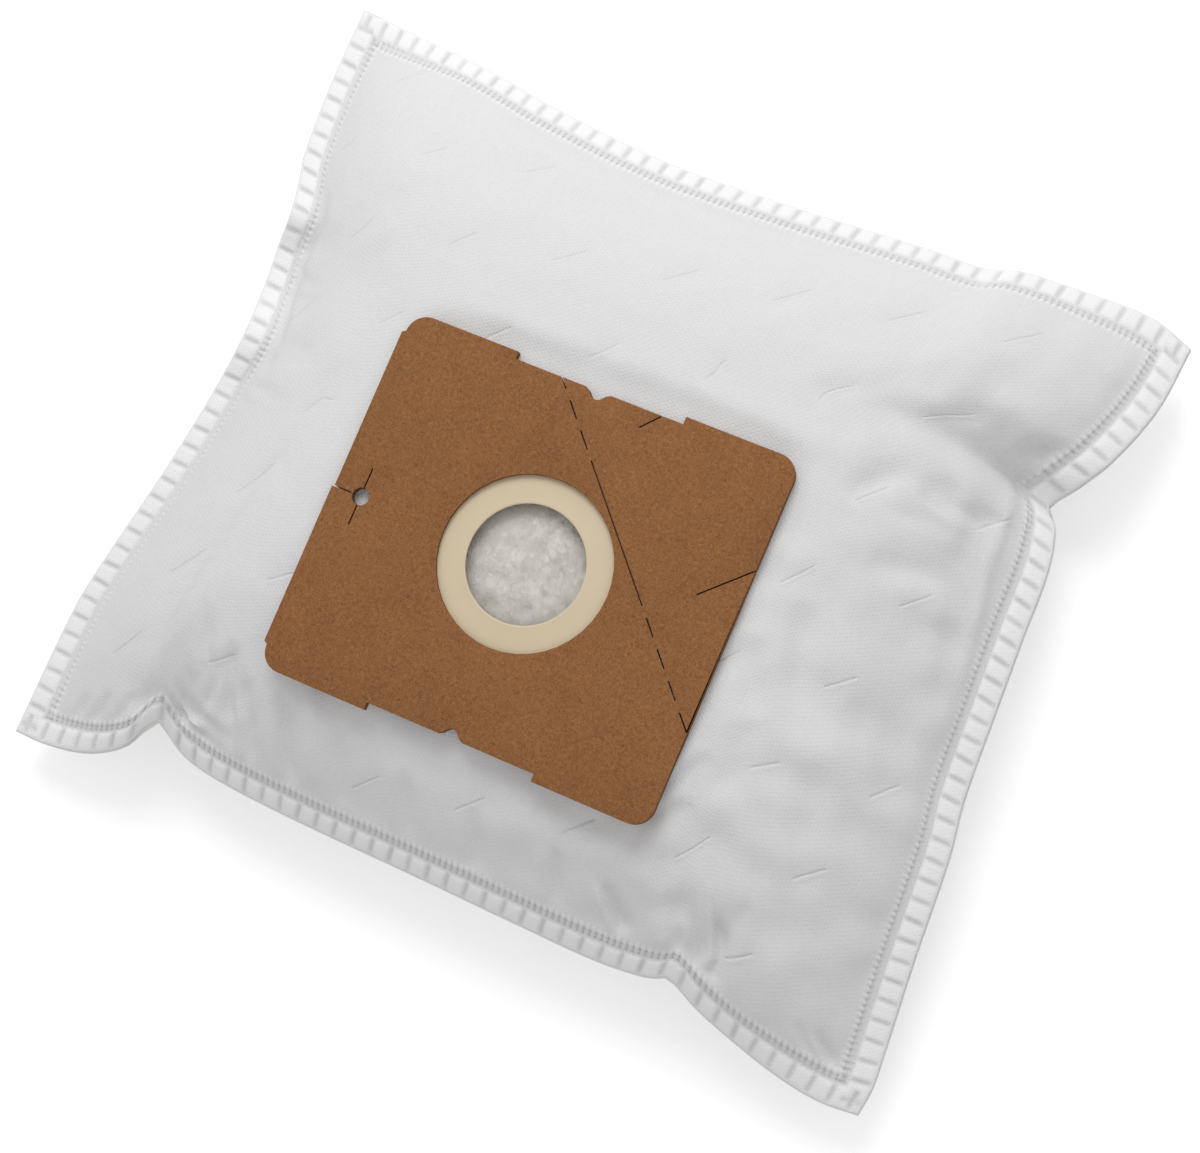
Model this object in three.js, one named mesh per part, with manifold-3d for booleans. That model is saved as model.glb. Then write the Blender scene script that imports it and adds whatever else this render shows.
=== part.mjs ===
// A vacuum cleaner dust bag, in millimetres, with Z up.
// Two panels, each an outer sheet over a soft inner fleece, are welded together round a flat border.
// The bag is drawn puffed up and lying on its back panel, as it lies on a table. A card holder plate
// with a rubber sealing ring is glued round the inlet in the front panel.
// The origin is below the middle of the bag, on the surface that it lies on.
import * as THREE from 'three';
import { mergeVertices } from 'three/addons/utils/BufferGeometryUtils.js';
import Module from 'manifold-3d';

const wasm = await Module();
wasm.setup();

// The cut size of each panel before welding, and how the welded border divides it.
const CUT_LENGTH = 276;
const CUT_WIDTH = 248;
const BORDER_WIDTH = 9;
const BLOCK_LENGTH = 6.3;
const BLOCK_PITCH = 6.1;
const BLOCK_HEIGHT = 0.5;

// Thicknesses of the sheets, and the gap between two that lie on each other. The back fleece is
// fluffed up under the inlet.
const OUTER_THICKNESS = 0.5;
const FLEECE_WELDED = 0.7;
const FRONT_FLEECE_LOFT = 2.4;
const BACK_FLEECE_LOFT = 6;
const FLUFF_RISE = 41;
const FLUFF_RADIUS = 32;
const LAYER_GAP = 0.3;

// Where the four corners of the puffed bag lie, seen from above with the plate upright.
const CORNERS = {
  backLeft: [-131, 122.5],
  backRight: [136.5, 111.3],
  frontRight: [132, -120.4],
  frontLeft: [-140.5, -118.8],
};

// The seam along each side: how far along from left or front, how far in from the straight
// line between the corners, and how high above the table. The deep places are pinched folds.
const FRONT_SIDE = [
  [0, 0, 14], [0.035, 0.1, 15], [0.085, 2.6, 18], [0.12, 6.8, 22], [0.143, 11.6, 26],
  [0.155, 18, 28], [0.166, 20.9, 27], [0.176, 17.9, 23], [0.2, 14.2, 20], [0.25, 12.1, 21],
  [0.34, 11, 22], [0.49, 10.6, 23], [0.6, 10.1, 23], [0.7, 9.9, 22], [0.757, 11.8, 24],
  [0.775, 13.8, 26], [0.81, 9.3, 22], [0.87, 3.9, 18], [0.92, 0.5, 16], [0.96, -0.9, 14], [1, 0, 13],
];
const BACK_SIDE = [
  [0, 0, 16], [0.09, 2.1, 19], [0.19, 4.6, 22], [0.26, 7.4, 24], [0.41, 9.9, 25], [0.56, 7.7, 25],
  [0.7, 3.8, 23], [0.775, 2, 21], [0.8, -0.5, 22], [0.87, -2.7, 20], [0.95, -3.8, 18], [1, 0, 17],
];
const LEFT_SIDE = [
  [0, 0, 14], [0.17, 0.9, 17], [0.24, 3.6, 19], [0.38, 10, 22], [0.495, 13.7, 24], [0.56, 16.3, 29],
  [0.63, 12.4, 22], [0.68, 10.5, 21], [0.72, 11.9, 27], [0.755, 9.5, 25], [0.8, 5.5, 22],
  [0.9, 1.5, 18], [1, 0, 16],
];
const RIGHT_SIDE = [
  [0, 0, 13], [0.035, -0.9, 14], [0.08, -0.1, 15], [0.19, 2.3, 18], [0.325, 4.7, 21], [0.39, 7.1, 22],
  [0.49, 8.6, 23], [0.595, 10.1, 23], [0.68, 11.2, 22], [0.732, 14.2, 20], [0.757, 18.4, 17],
  [0.79, 12.4, 24], [0.83, 6.9, 26], [0.91, 1.5, 22], [1, 0, 17],
];

// How the panels swell between the seams.
const SWELL_ROUNDNESS = 3.4;
const SWELL_STEEPNESS = 0.75;
const CROWN_FLATNESS = 1.06;
const BELLY_FLATNESS = 1.3;
const BELLY_STEEPNESS = 0.8;

// Folds in the panels: start, end, depth and half width. Both panels tuck in at a pinch.
const PINCH_FOLDS = [
  { from: [-124, 47], to: [-100, 52], depth: 4, spread: 5 },
  { from: [-119, 8], to: [-96, 18], depth: 5, spread: 6 },
  { from: [-96, -96], to: [-70, -82], depth: 7, spread: 6 },
  { from: [72, -104], to: [84, -80], depth: 5, spread: 5 },
  { from: [117, 55], to: [92, 66], depth: 9, spread: 6 },
];
const FRONT_FOLDS = [
  { from: [109, 56], to: [110, 12], depth: 2.5, spread: 4 },
  { from: [104, 6], to: [109, -34], depth: 1.6, spread: 5 },
  { from: [51, -72], to: [47, -98], depth: 1.5, spread: 4 },
  { from: [-76, -98], to: [-52, -92], depth: 2, spread: 5 },
];

// The card holder plate: two cards with the sealing ring between them.
const PLATE_LENGTH = 120;
const PLATE_WIDTH = 108;
const PLATE_TOP = 56;
const PLATE_CENTRE = [-5.8, -17.4];
const TOP_CARD_THICKNESS = 1.2;
const BASE_CARD_THICKNESS = 1.4;
const GLUE_GAP = 0.1;
const RING_THICKNESS = 0.5;
const RING_DIAMETER = 72;
const RING_HOLE = 34;
const RING_CLEARANCE = 0.5;
const CARD_HOLE = 50;
const INLET_HOLE = 46;
const FLEECE_SETBACK = 1;

// The plate's die-cut outline and cuts, from the middle of the plate.
const CORNER_RADIUS = 6;
const RECESS_HALF_LENGTH = 25.6;
const RECESS_DEPTH = 2.2;
const NOTCH_HALF_WIDTH = 3.8;
const NOTCH_DEPTH = 3.2;
const NOTCH_RADIUS = 2.5;
const LEFT_STEP = 0.7;
const CORNER_STEP = 1.1;
const NIB_LENGTH = 0.7;
const PIN_DIAMETER = 5;
const PIN_FROM_EDGE = 9;
const PIN_SLIT_LENGTH = 6;
const SLIT_WIDTH = 0.4;
const EDGE_SLITS = [
  { from: [14.6, 46.5], to: [20.4, 53] },
  { from: [47.6, 9.9], to: [61, 22.8] },
];
const TEAR_START = [-11.2, 51.7];
const TEAR_END = [60.6, -26.4];
const TEAR_PITCH = 9.15;
const TEAR_DASH = 5.7;
const TEAR_FIRST = 3.5;
const TEAR_DASHES_BEFORE = 2;
const TEAR_LONG = 43;

// Where the sheets' faces are divided: closer together at the seams and pinches.
const COLUMNS = [0.07, 0.11, 0.143, 0.155, 0.166, 0.178, 0.2, 0.26, 0.34, 0.42, 0.5, 0.58, 0.66, 0.73,
  0.775, 0.81, 0.86, 0.91];
const ROWS = [0.08, 0.13, 0.2, 0.28, 0.36, 0.44, 0.51, 0.56, 0.61, 0.67, 0.72, 0.745, 0.758, 0.775,
  0.83, 0.92];
const ROUND_STEPS = 40;

// Heights that follow from the thicknesses.
const TOP_CARD_BOTTOM = PLATE_TOP - TOP_CARD_THICKNESS;
const BASE_CARD_TOP = TOP_CARD_BOTTOM - GLUE_GAP;
const BASE_CARD_BOTTOM = BASE_CARD_TOP - BASE_CARD_THICKNESS;
const RING_TOP = BASE_CARD_TOP - GLUE_GAP;
const RING_BOTTOM = RING_TOP - RING_THICKNESS;
const POCKET_BOTTOM = RING_BOTTOM - GLUE_GAP;
const CROWN = BASE_CARD_BOTTOM - LAYER_GAP;
const STACK_HALF = 1.5 * LAYER_GAP + OUTER_THICKNESS + FLEECE_WELDED;

// A smooth line through rows that start with their place along, read at one place.
function smooth(rows, along, column) {
  let k = 1;
  while (k < rows.length - 1 && rows[k][0] < along) k += 1;
  const slope = (i) => {
    const a = rows[Math.max(i - 1, 0)];
    const b = rows[Math.min(i + 1, rows.length - 1)];
    return (b[column] - a[column]) / (b[0] - a[0]);
  };
  const [a, b] = [rows[k - 1], rows[k]];
  const span = b[0] - a[0];
  const t = (along - a[0]) / span;
  const bend = t * (1 - t) * span;
  const eased = t * t * (3 - 2 * t);
  return a[column] + (b[column] - a[column]) * eased + bend * ((1 - t) * slope(k - 1) - t * slope(k));
}

// A point of the seam's outer edge. inward is 1 where the bag lies to the left of the line.
function seamPoint(rows, start, end, inward, along) {
  const chord = new THREE.Vector2(end[0] - start[0], end[1] - start[1]);
  const normal = new THREE.Vector2(-chord.y, chord.x).normalize().multiplyScalar(inward);
  const inset = smooth(rows, along, 1);
  return new THREE.Vector3(
    start[0] + chord.x * along + normal.x * inset,
    start[1] + chord.y * along + normal.y * inset,
    smooth(rows, along, 2),
  );
}

// The surface midway between the panels, spanned by the four sides; u and v go from 0 to 1.
function middle(u, v) {
  const c = CORNERS;
  const front = seamPoint(FRONT_SIDE, c.frontLeft, c.frontRight, 1, u);
  const back = seamPoint(BACK_SIDE, c.backLeft, c.backRight, -1, u);
  const left = seamPoint(LEFT_SIDE, c.frontLeft, c.backLeft, -1, v);
  const right = seamPoint(RIGHT_SIDE, c.frontRight, c.backRight, 1, v);
  const across = front.clone().lerp(back, v).add(left.clone().lerp(right, u));
  const near = seamPoint(FRONT_SIDE, c.frontLeft, c.frontRight, 1, 0)
    .lerp(seamPoint(FRONT_SIDE, c.frontLeft, c.frontRight, 1, 1), u);
  const far = seamPoint(BACK_SIDE, c.backLeft, c.backRight, -1, 0)
    .lerp(seamPoint(BACK_SIDE, c.backLeft, c.backRight, -1, 1), u);
  return across.sub(near.lerp(far, v));
}

// How far the panel has swollen at a place: 0 at the weld, 1 over the flat crown.
function swell(u, v) {
  const part = (share, size) => {
    const border = BORDER_WIDTH / size;
    const inside = THREE.MathUtils.clamp((share - border) / (1 - 2 * border), 0, 1);
    return 1 - Math.abs(2 * inside - 1) ** SWELL_ROUNDNESS;
  };
  return (part(u, CUT_LENGTH) * part(v, CUT_WIDTH)) ** SWELL_STEEPNESS;
}

// How deep the folds in a list are at a place.
function foldDepth(folds, x, y) {
  let depth = 0;
  for (const fold of folds) {
    const start = new THREE.Vector2(...fold.from);
    const run = new THREE.Vector2(...fold.to).sub(start);
    const offset = new THREE.Vector2(x, y).sub(start);
    const along = THREE.MathUtils.clamp(offset.dot(run) / run.lengthSq(), 0, 1);
    const away = offset.sub(run.clone().multiplyScalar(along)).length() / fold.spread;
    depth += fold.depth * Math.exp(-away * away) * (1 - 0.6 * along);
  }
  return depth;
}

// How far the back fleece is fluffed up at a place: a broad mound under the inlet.
function fluffHeight(x, y) {
  const away = Math.hypot(x - PLATE_CENTRE[0], y - PLATE_CENTRE[1]) / FLUFF_RADIUS;
  return FLUFF_RISE * Math.exp(-(away ** 4));
}

// The heights of both faces of every sheet at a place, from the table upwards.
function layers(u, v) {
  const place = middle(u, v);
  const swollen = swell(u, v);
  const crown = Math.min(1, swollen * CROWN_FLATNESS);
  const belly = Math.min(1, swollen ** BELLY_STEEPNESS * BELLY_FLATNESS);
  const tuck = 1 - Math.exp(-6 * swollen);
  const pinch = foldDepth(PINCH_FOLDS, place.x, place.y) * tuck;
  const seamTop = place.z + STACK_HALF;
  const seamBottom = place.z - STACK_HALF;
  const frontTop = seamTop + (CROWN - seamTop) * crown
    - pinch - foldDepth(FRONT_FOLDS, place.x, place.y) * tuck;
  const frontBottom = frontTop - OUTER_THICKNESS;
  const frontFleeceTop = frontBottom - LAYER_GAP;
  const frontFleeceBottom = frontFleeceTop - FLEECE_WELDED
    - (FRONT_FLEECE_LOFT - FLEECE_WELDED) * swollen;
  const backBottom = (seamBottom + pinch * 0.6) * (1 - belly);
  const backTop = backBottom + OUTER_THICKNESS;
  const backFleeceBottom = backTop + LAYER_GAP;
  const backFleeceTop = backFleeceBottom + FLEECE_WELDED
    + (BACK_FLEECE_LOFT - FLEECE_WELDED) * swollen ** 2
    + fluffHeight(place.x, place.y) * swollen;
  return {
    x: place.x,
    y: place.y,
    frontTop, frontBottom, frontFleeceTop, frontFleeceBottom,
    backBottom, backTop, backFleeceBottom, backFleeceTop,
  };
}

// Collects the points and triangles of one closed sheet.
class SheetMesh {
  constructor() {
    this.points = [];
    this.triangles = [];
  }

  // Adds a point at a place of the cut panel, on one of its layers' faces.
  add(u, v, face, rise = 0) {
    const heights = layers(u, v);
    this.points.push(heights.x, heights.y, heights[face] + rise);
    return this.points.length / 3 - 1;
  }

  triangle(a, b, c, flipped) {
    this.triangles.push(...(flipped ? [a, c, b] : [a, b, c]));
  }

  // Joins an outer loop to an inner one with triangles; each loop holds ids and places along.
  stitch(outer, inner, flipped) {
    let [i, j] = [0, 0];
    const at = (loop, k) => (k < loop.ids.length ? loop.along[k] : 4);
    const id = (loop, k) => loop.ids[k % loop.ids.length];
    while (i < outer.ids.length || j < inner.ids.length) {
      const outerNext = i < outer.ids.length
        && (j >= inner.ids.length || at(outer, i + 1) <= at(inner, j + 1));
      if (outerNext) {
        this.triangle(id(outer, i), id(outer, i + 1), id(inner, j), flipped);
        i += 1;
      } else {
        this.triangle(id(outer, i), id(inner, j + 1), id(inner, j), flipped);
        j += 1;
      }
    }
  }

  geometry() {
    const geometry = new THREE.BufferGeometry();
    geometry.setAttribute('position', new THREE.Float32BufferAttribute(this.points, 3));
    geometry.setIndex(this.triangles);
    return geometry;
  }
}

// A loop round the panel at a distance in from its edge, counter-clockwise seen from above.
// The places along run from 0 to 1 on the front side, 1 to 2 on the right side, and so on.
function loopPlaces(inset, alongLength, alongWidth) {
  const [du, dv] = [inset / CUT_LENGTH, inset / CUT_WIDTH];
  const places = [];
  for (const t of alongLength) places.push([du + (1 - 2 * du) * t, dv, t]);
  for (const t of alongWidth) places.push([1 - du, dv + (1 - 2 * dv) * t, 1 + t]);
  for (const t of alongLength) places.push([1 - du - (1 - 2 * du) * t, 1 - dv, 2 + t]);
  for (const t of alongWidth) places.push([du, 1 - dv - (1 - 2 * dv) * t, 3 + t]);
  return places;
}

// The grid lines of a panel inside its border, with the two that run along the weld.
function gridLines(inner, size) {
  const border = BORDER_WIDTH / size;
  return [border, ...inner, 1 - border];
}

// The loop of grid points along the weld, or its copy on the panel's edge.
function gridLoop(mesh, face, grid, columns, rows) {
  const [m, n] = [columns.length - 1, rows.length - 1];
  const loop = { ids: [], along: [] };
  const edge = { ids: [], along: [] };
  const reach = (list, k) => (list[k] - list[0]) / (list[list.length - 1] - list[0]);
  const step = (i, j, u, v, along) => {
    loop.ids.push(grid[j][i]);
    loop.along.push(along);
    edge.ids.push([u, v]);
    edge.along.push(along);
  };
  for (let i = 0; i < m; i += 1) step(i, 0, reach(columns, i), 0, reach(columns, i));
  for (let j = 0; j < n; j += 1) step(m, j, 1, reach(rows, j), 1 + reach(rows, j));
  for (let i = m; i > 0; i -= 1) step(i, n, reach(columns, i), 1, 3 - reach(columns, i));
  for (let j = n; j > 0; j -= 1) step(0, j, 0, reach(rows, j), 4 - reach(rows, j));
  return { loop, edge };
}

// One face of a sheet. With blocks it gets the raised blocks of the welded border.
function sheetFace(mesh, face, flipped, blocks) {
  const columns = gridLines(COLUMNS, CUT_LENGTH);
  const rows = gridLines(ROWS, CUT_WIDTH);
  const grid = rows.map((v) => columns.map((u) => mesh.add(u, v, face)));
  for (let j = 0; j + 1 < rows.length; j += 1) {
    for (let i = 0; i + 1 < columns.length; i += 1) {
      const [a, b, c, d] = [grid[j][i], grid[j][i + 1], grid[j + 1][i + 1], grid[j + 1][i]];
      mesh.triangle(a, b, c, flipped);
      mesh.triangle(a, c, d, flipped);
    }
  }
  const { loop, edge } = gridLoop(mesh, face, grid, columns, rows);
  if (!blocks) {
    const outer = { ids: edge.ids.map(([u, v]) => mesh.add(u, v, face)), along: edge.along };
    mesh.stitch(outer, loop, flipped);
    return outer;
  }
  const spread = (size) => {
    const count = 2 * Math.round(size / BLOCK_PITCH);
    return Array.from({ length: count }, (_, k) => k / count);
  };
  const [alongLength, alongWidth] = [spread(CUT_LENGTH), spread(CUT_WIDTH)];
  const blockLoop = (inset) => {
    const places = loopPlaces(inset, alongLength, alongWidth);
    const rise = (k) => (k % 2 ? blocks * BLOCK_HEIGHT : 0);
    return {
      ids: places.map(([u, v], k) => mesh.add(u, v, face, rise(k))),
      along: places.map((place) => place[2]),
    };
  };
  const outer = blockLoop(0);
  const blockEnds = blockLoop(BLOCK_LENGTH);
  mesh.stitch(outer, blockEnds, flipped);
  mesh.stitch(blockEnds, loop, flipped);
  return outer;
}

// A whole sheet between two faces of the layers.
function sheetGeometry(bottomFace, topFace, bottomBlocks, topBlocks) {
  const mesh = new SheetMesh();
  const top = sheetFace(mesh, topFace, false, topBlocks);
  const bottom = sheetFace(mesh, bottomFace, true, bottomBlocks);
  mesh.stitch(bottom, top, false);
  return mesh.geometry();
}

// A closed geometry as a solid that can be cut.
function solidOf(geometry) {
  const bare = geometry.clone();
  bare.deleteAttribute('normal');
  bare.deleteAttribute('uv');
  const merged = mergeVertices(bare);
  return new wasm.Manifold(new wasm.Mesh({
    numProp: 3,
    vertProperties: Float32Array.from(merged.attributes.position.array),
    triVerts: Uint32Array.from(merged.index.array),
  }));
}

function geometryOf(solid) {
  const mesh = solid.getMesh();
  const geometry = new THREE.BufferGeometry();
  geometry.setAttribute('position', new THREE.BufferAttribute(mesh.vertProperties, 3));
  geometry.setIndex(new THREE.BufferAttribute(mesh.triVerts, 1));
  return geometry;
}

// A round post along Z over the plate's middle, or off it, that cuts a hole.
function roundCutter(diameter, bottom, top, offset = [0, 0]) {
  const cutter = new THREE.CylinderGeometry(diameter / 2, diameter / 2, top - bottom, ROUND_STEPS);
  cutter.rotateX(Math.PI / 2);
  cutter.translate(PLATE_CENTRE[0] + offset[0], PLATE_CENTRE[1] + offset[1], (top + bottom) / 2);
  return solidOf(cutter);
}

// A thin blade between two points of the plate that cuts a slit.
function slitCutter(from, to) {
  const run = new THREE.Vector2(to[0] - from[0], to[1] - from[1]);
  const blade = new THREE.BoxGeometry(run.length(), SLIT_WIDTH, 3 * (PLATE_TOP - BASE_CARD_BOTTOM));
  blade.rotateZ(run.angle());
  blade.translate(
    PLATE_CENTRE[0] + (from[0] + to[0]) / 2,
    PLATE_CENTRE[1] + (from[1] + to[1]) / 2,
    PLATE_TOP,
  );
  return solidOf(blade);
}

// One long side of the plate, drawn from right to left with the plate below it: raised ends,
// a shallow recess between them and a rounded notch in its middle.
function recessedSide(shape, turn) {
  const half = PLATE_WIDTH / 2;
  const low = half - RECESS_DEPTH;
  const to = (x, y) => shape.lineTo(turn * x, turn * y);
  to(RECESS_HALF_LENGTH, half);
  to(RECESS_HALF_LENGTH, low);
  to(NOTCH_HALF_WIDTH, low);
  to(NOTCH_RADIUS, low - NOTCH_DEPTH + NOTCH_RADIUS);
  shape.quadraticCurveTo(
    0, turn * (low - NOTCH_DEPTH - NOTCH_RADIUS / 2),
    turn * -NOTCH_RADIUS, turn * (low - NOTCH_DEPTH + NOTCH_RADIUS),
  );
  to(-NOTCH_HALF_WIDTH, low);
  to(-RECESS_HALF_LENGTH, low);
  to(-RECESS_HALF_LENGTH, half);
}

// The outline that both cards share. Its left side steps in to both of its rounded corners.
function plateShape() {
  const [x, y, r] = [PLATE_LENGTH / 2, PLATE_WIDTH / 2, CORNER_RADIUS];
  const shape = new THREE.Shape();
  shape.moveTo(x, -y + r);
  shape.lineTo(x, y - r);
  shape.absarc(x - r, y - r, r, 0, Math.PI / 2, false);
  recessedSide(shape, 1);
  shape.absarc(-x + r + LEFT_STEP + CORNER_STEP, y - r, r, Math.PI / 2, Math.PI, false);
  shape.lineTo(-x + LEFT_STEP, y - r - NIB_LENGTH);
  shape.lineTo(-x + LEFT_STEP, 0);
  shape.lineTo(-x, 0);
  shape.lineTo(-x, -y + r + NIB_LENGTH);
  shape.absarc(-x + r + CORNER_STEP, -y + r, r, Math.PI, 1.5 * Math.PI, false);
  recessedSide(shape, -1);
  shape.absarc(x - r, -y + r, r, 1.5 * Math.PI, 2 * Math.PI, false);
  return shape;
}

// The blades that cut the tear line, the slits at the edges and those round the pin hole.
function plateSlits() {
  const start = new THREE.Vector2(...TEAR_START);
  const along = new THREE.Vector2(...TEAR_END).sub(start);
  const length = along.length();
  along.normalize();
  const point = (distance) => start.clone().addScaledVector(along, distance).toArray();
  const slits = [slitCutter(point(-1), point(TEAR_FIRST))];
  let place = TEAR_FIRST + TEAR_PITCH - TEAR_DASH;
  for (let k = 0; k < TEAR_DASHES_BEFORE; k += 1) {
    slits.push(slitCutter(point(place), point(place + TEAR_DASH)));
    place += TEAR_PITCH;
  }
  slits.push(slitCutter(point(place), point(place + TEAR_LONG)));
  place += TEAR_LONG + TEAR_PITCH - TEAR_DASH;
  for (; place < length; place += TEAR_PITCH) {
    slits.push(slitCutter(point(place), point(Math.min(place + TEAR_DASH, length))));
  }
  for (const { from, to } of EDGE_SLITS) slits.push(slitCutter(from, to));
  const pin = -PLATE_LENGTH / 2 + PIN_FROM_EDGE;
  const rim = PIN_DIAMETER / 2;
  slits.push(slitCutter([pin, rim - SLIT_WIDTH], [pin, rim + PIN_SLIT_LENGTH]));
  slits.push(slitCutter([pin, SLIT_WIDTH - rim], [pin, -rim - PIN_SLIT_LENGTH]));
  slits.push(slitCutter([-PLATE_LENGTH / 2 - 1, 0], [pin - rim - SLIT_WIDTH, 0]));
  slits.push(roundCutter(PIN_DIAMETER, BASE_CARD_BOTTOM - 1, PLATE_TOP + 1, [pin, 0]));
  return slits;
}

// A card of the plate, with its round cut-out and every slit.
function cardSolid(bottom, thickness) {
  const card = new THREE.ExtrudeGeometry(plateShape(), {
    depth: thickness,
    bevelEnabled: false,
    curveSegments: 8,
  });
  card.translate(PLATE_CENTRE[0], PLATE_CENTRE[1], bottom);
  let solid = solidOf(card).subtract(roundCutter(CARD_HOLE, bottom - 1, bottom + thickness + 1));
  for (const slit of plateSlits()) solid = solid.subtract(slit);
  return solid;
}

function topCard() {
  return geometryOf(cardSolid(TOP_CARD_BOTTOM, TOP_CARD_THICKNESS));
}

// The lower card has a shallow pocket pressed into it for the sealing ring.
function baseCard() {
  const pocket = roundCutter(RING_DIAMETER + 2 * RING_CLEARANCE, POCKET_BOTTOM, BASE_CARD_TOP + 1);
  return geometryOf(cardSolid(BASE_CARD_BOTTOM, BASE_CARD_THICKNESS).subtract(pocket));
}

function sealingRing() {
  const hole = roundCutter(RING_HOLE, RING_BOTTOM - 1, RING_TOP + 1);
  return geometryOf(roundCutter(RING_DIAMETER, RING_BOTTOM, RING_TOP).subtract(hole));
}

function frontOuterSheet() {
  const sheet = solidOf(sheetGeometry('frontBottom', 'frontTop', 0, 1));
  return geometryOf(sheet.subtract(roundCutter(INLET_HOLE, 0, PLATE_TOP)));
}

function frontInnerFleece() {
  const sheet = solidOf(sheetGeometry('frontFleeceBottom', 'frontFleeceTop', 0, 0));
  return geometryOf(sheet.subtract(roundCutter(INLET_HOLE + 2 * FLEECE_SETBACK, 0, PLATE_TOP)));
}

function backInnerFleece() {
  return sheetGeometry('backFleeceBottom', 'backFleeceTop', 0, 0);
}

function backOuterSheet() {
  return sheetGeometry('backBottom', 'backTop', -1, 0);
}

const spunbond = () => new THREE.MeshStandardMaterial({ color: 0xe4e5e6, roughness: 0.75, metalness: 0 });
const fleece = () => new THREE.MeshStandardMaterial({ color: 0xdcdcda, roughness: 0.95, metalness: 0 });
const card = () => new THREE.MeshStandardMaterial({ color: 0x906341, roughness: 0.85, metalness: 0 });
const rubber = () => new THREE.MeshStandardMaterial({ color: 0xd4c4a2, roughness: 0.55, metalness: 0 });

const bag = new THREE.Group();

function place(name, geometry, material) {
  const mesh = new THREE.Mesh(geometry, material);
  mesh.name = name;
  bag.add(mesh);
}

place('back_outer_sheet', backOuterSheet(), spunbond());
place('back_inner_fleece', backInnerFleece(), fleece());
place('front_inner_fleece', frontInnerFleece(), fleece());
place('front_outer_sheet', frontOuterSheet(), spunbond());
place('plate_base_card', baseCard(), card());
place('sealing_ring', sealingRing(), rubber());
place('plate_top_card', topCard(), card());

// The origin goes below the middle of the bag.
const reach = new THREE.Box3().setFromObject(bag);
bag.position.set(-(reach.min.x + reach.max.x) / 2, -(reach.min.y + reach.max.y) / 2, -reach.min.z);

const model = new THREE.Group();
model.add(bag);

export default model;
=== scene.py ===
"""A puffed vacuum cleaner dust bag with its card holder plate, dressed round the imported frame.

Sizes are in millimetres, and become metres where a mesh is made. A place on a panel is given by its
flat coordinates, as the panel was cut: a along its length from the left edge, b along its width
from the front edge. The bag lies on its back panel, and its front panel carries the plate.
"""

import logging
import math
from dataclasses import dataclass, field
from enum import Enum

import bpy
import numpy as np
from bpy.types import Material, Node, NodeSocket, NodeTree, Object
from mathutils import Matrix, Vector
from mathutils.geometry import delaunay_2d_cdt

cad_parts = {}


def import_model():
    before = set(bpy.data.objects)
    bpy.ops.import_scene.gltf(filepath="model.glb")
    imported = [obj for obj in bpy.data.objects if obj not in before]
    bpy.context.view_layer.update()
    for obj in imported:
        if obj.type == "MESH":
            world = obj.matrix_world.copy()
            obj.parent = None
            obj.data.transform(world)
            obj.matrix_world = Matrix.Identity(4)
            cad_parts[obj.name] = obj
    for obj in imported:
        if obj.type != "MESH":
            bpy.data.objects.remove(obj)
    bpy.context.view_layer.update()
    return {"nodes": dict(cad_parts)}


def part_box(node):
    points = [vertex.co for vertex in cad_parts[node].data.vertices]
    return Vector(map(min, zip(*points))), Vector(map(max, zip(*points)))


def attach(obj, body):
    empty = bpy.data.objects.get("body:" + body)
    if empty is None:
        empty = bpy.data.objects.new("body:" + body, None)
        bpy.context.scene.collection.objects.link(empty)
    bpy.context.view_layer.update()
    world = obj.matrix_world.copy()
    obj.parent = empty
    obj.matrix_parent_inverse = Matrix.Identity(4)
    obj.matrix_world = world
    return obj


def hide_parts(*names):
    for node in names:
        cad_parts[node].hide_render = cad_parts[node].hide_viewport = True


MM = 0.001
BODY = "root"
LOG = logging.getLogger("dust_bag")


class Panel(Enum):
    """The two panels of the bag. The value is the side that a panel faces, along Z."""

    FRONT = 1
    BACK = -1


class Slot(Enum):
    """The names of the material slots."""

    SPUNBOND = "spunbond_outer"
    FLEECE = "inner_fleece"
    CARD = "kraft_card"
    RUBBER = "cream_rubber"


def smoothstep(low: float, high: float, value: np.ndarray) -> np.ndarray:
    """Rises smoothly from 0 at low to 1 at high."""
    t = np.clip((value - low) / (high - low), 0, 1)
    return t * t * (3 - 2 * t)


@dataclass(frozen=True)
class Cut:
    """The flat cut of each panel, and the width of its welded border."""

    length: float = 276.0
    width: float = 248.0
    border: float = 9.0

    def edge_distance(self, a: np.ndarray, b: np.ndarray) -> np.ndarray:
        """Distance from the nearest cut edge."""
        return np.minimum(np.minimum(a, self.length - a), np.minimum(b, self.width - b))

    @property
    def flat_size(self) -> tuple[float, float]:
        """Width and length in metres, before the bag was puffed up."""
        return (self.width * MM, self.length * MM)


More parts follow.
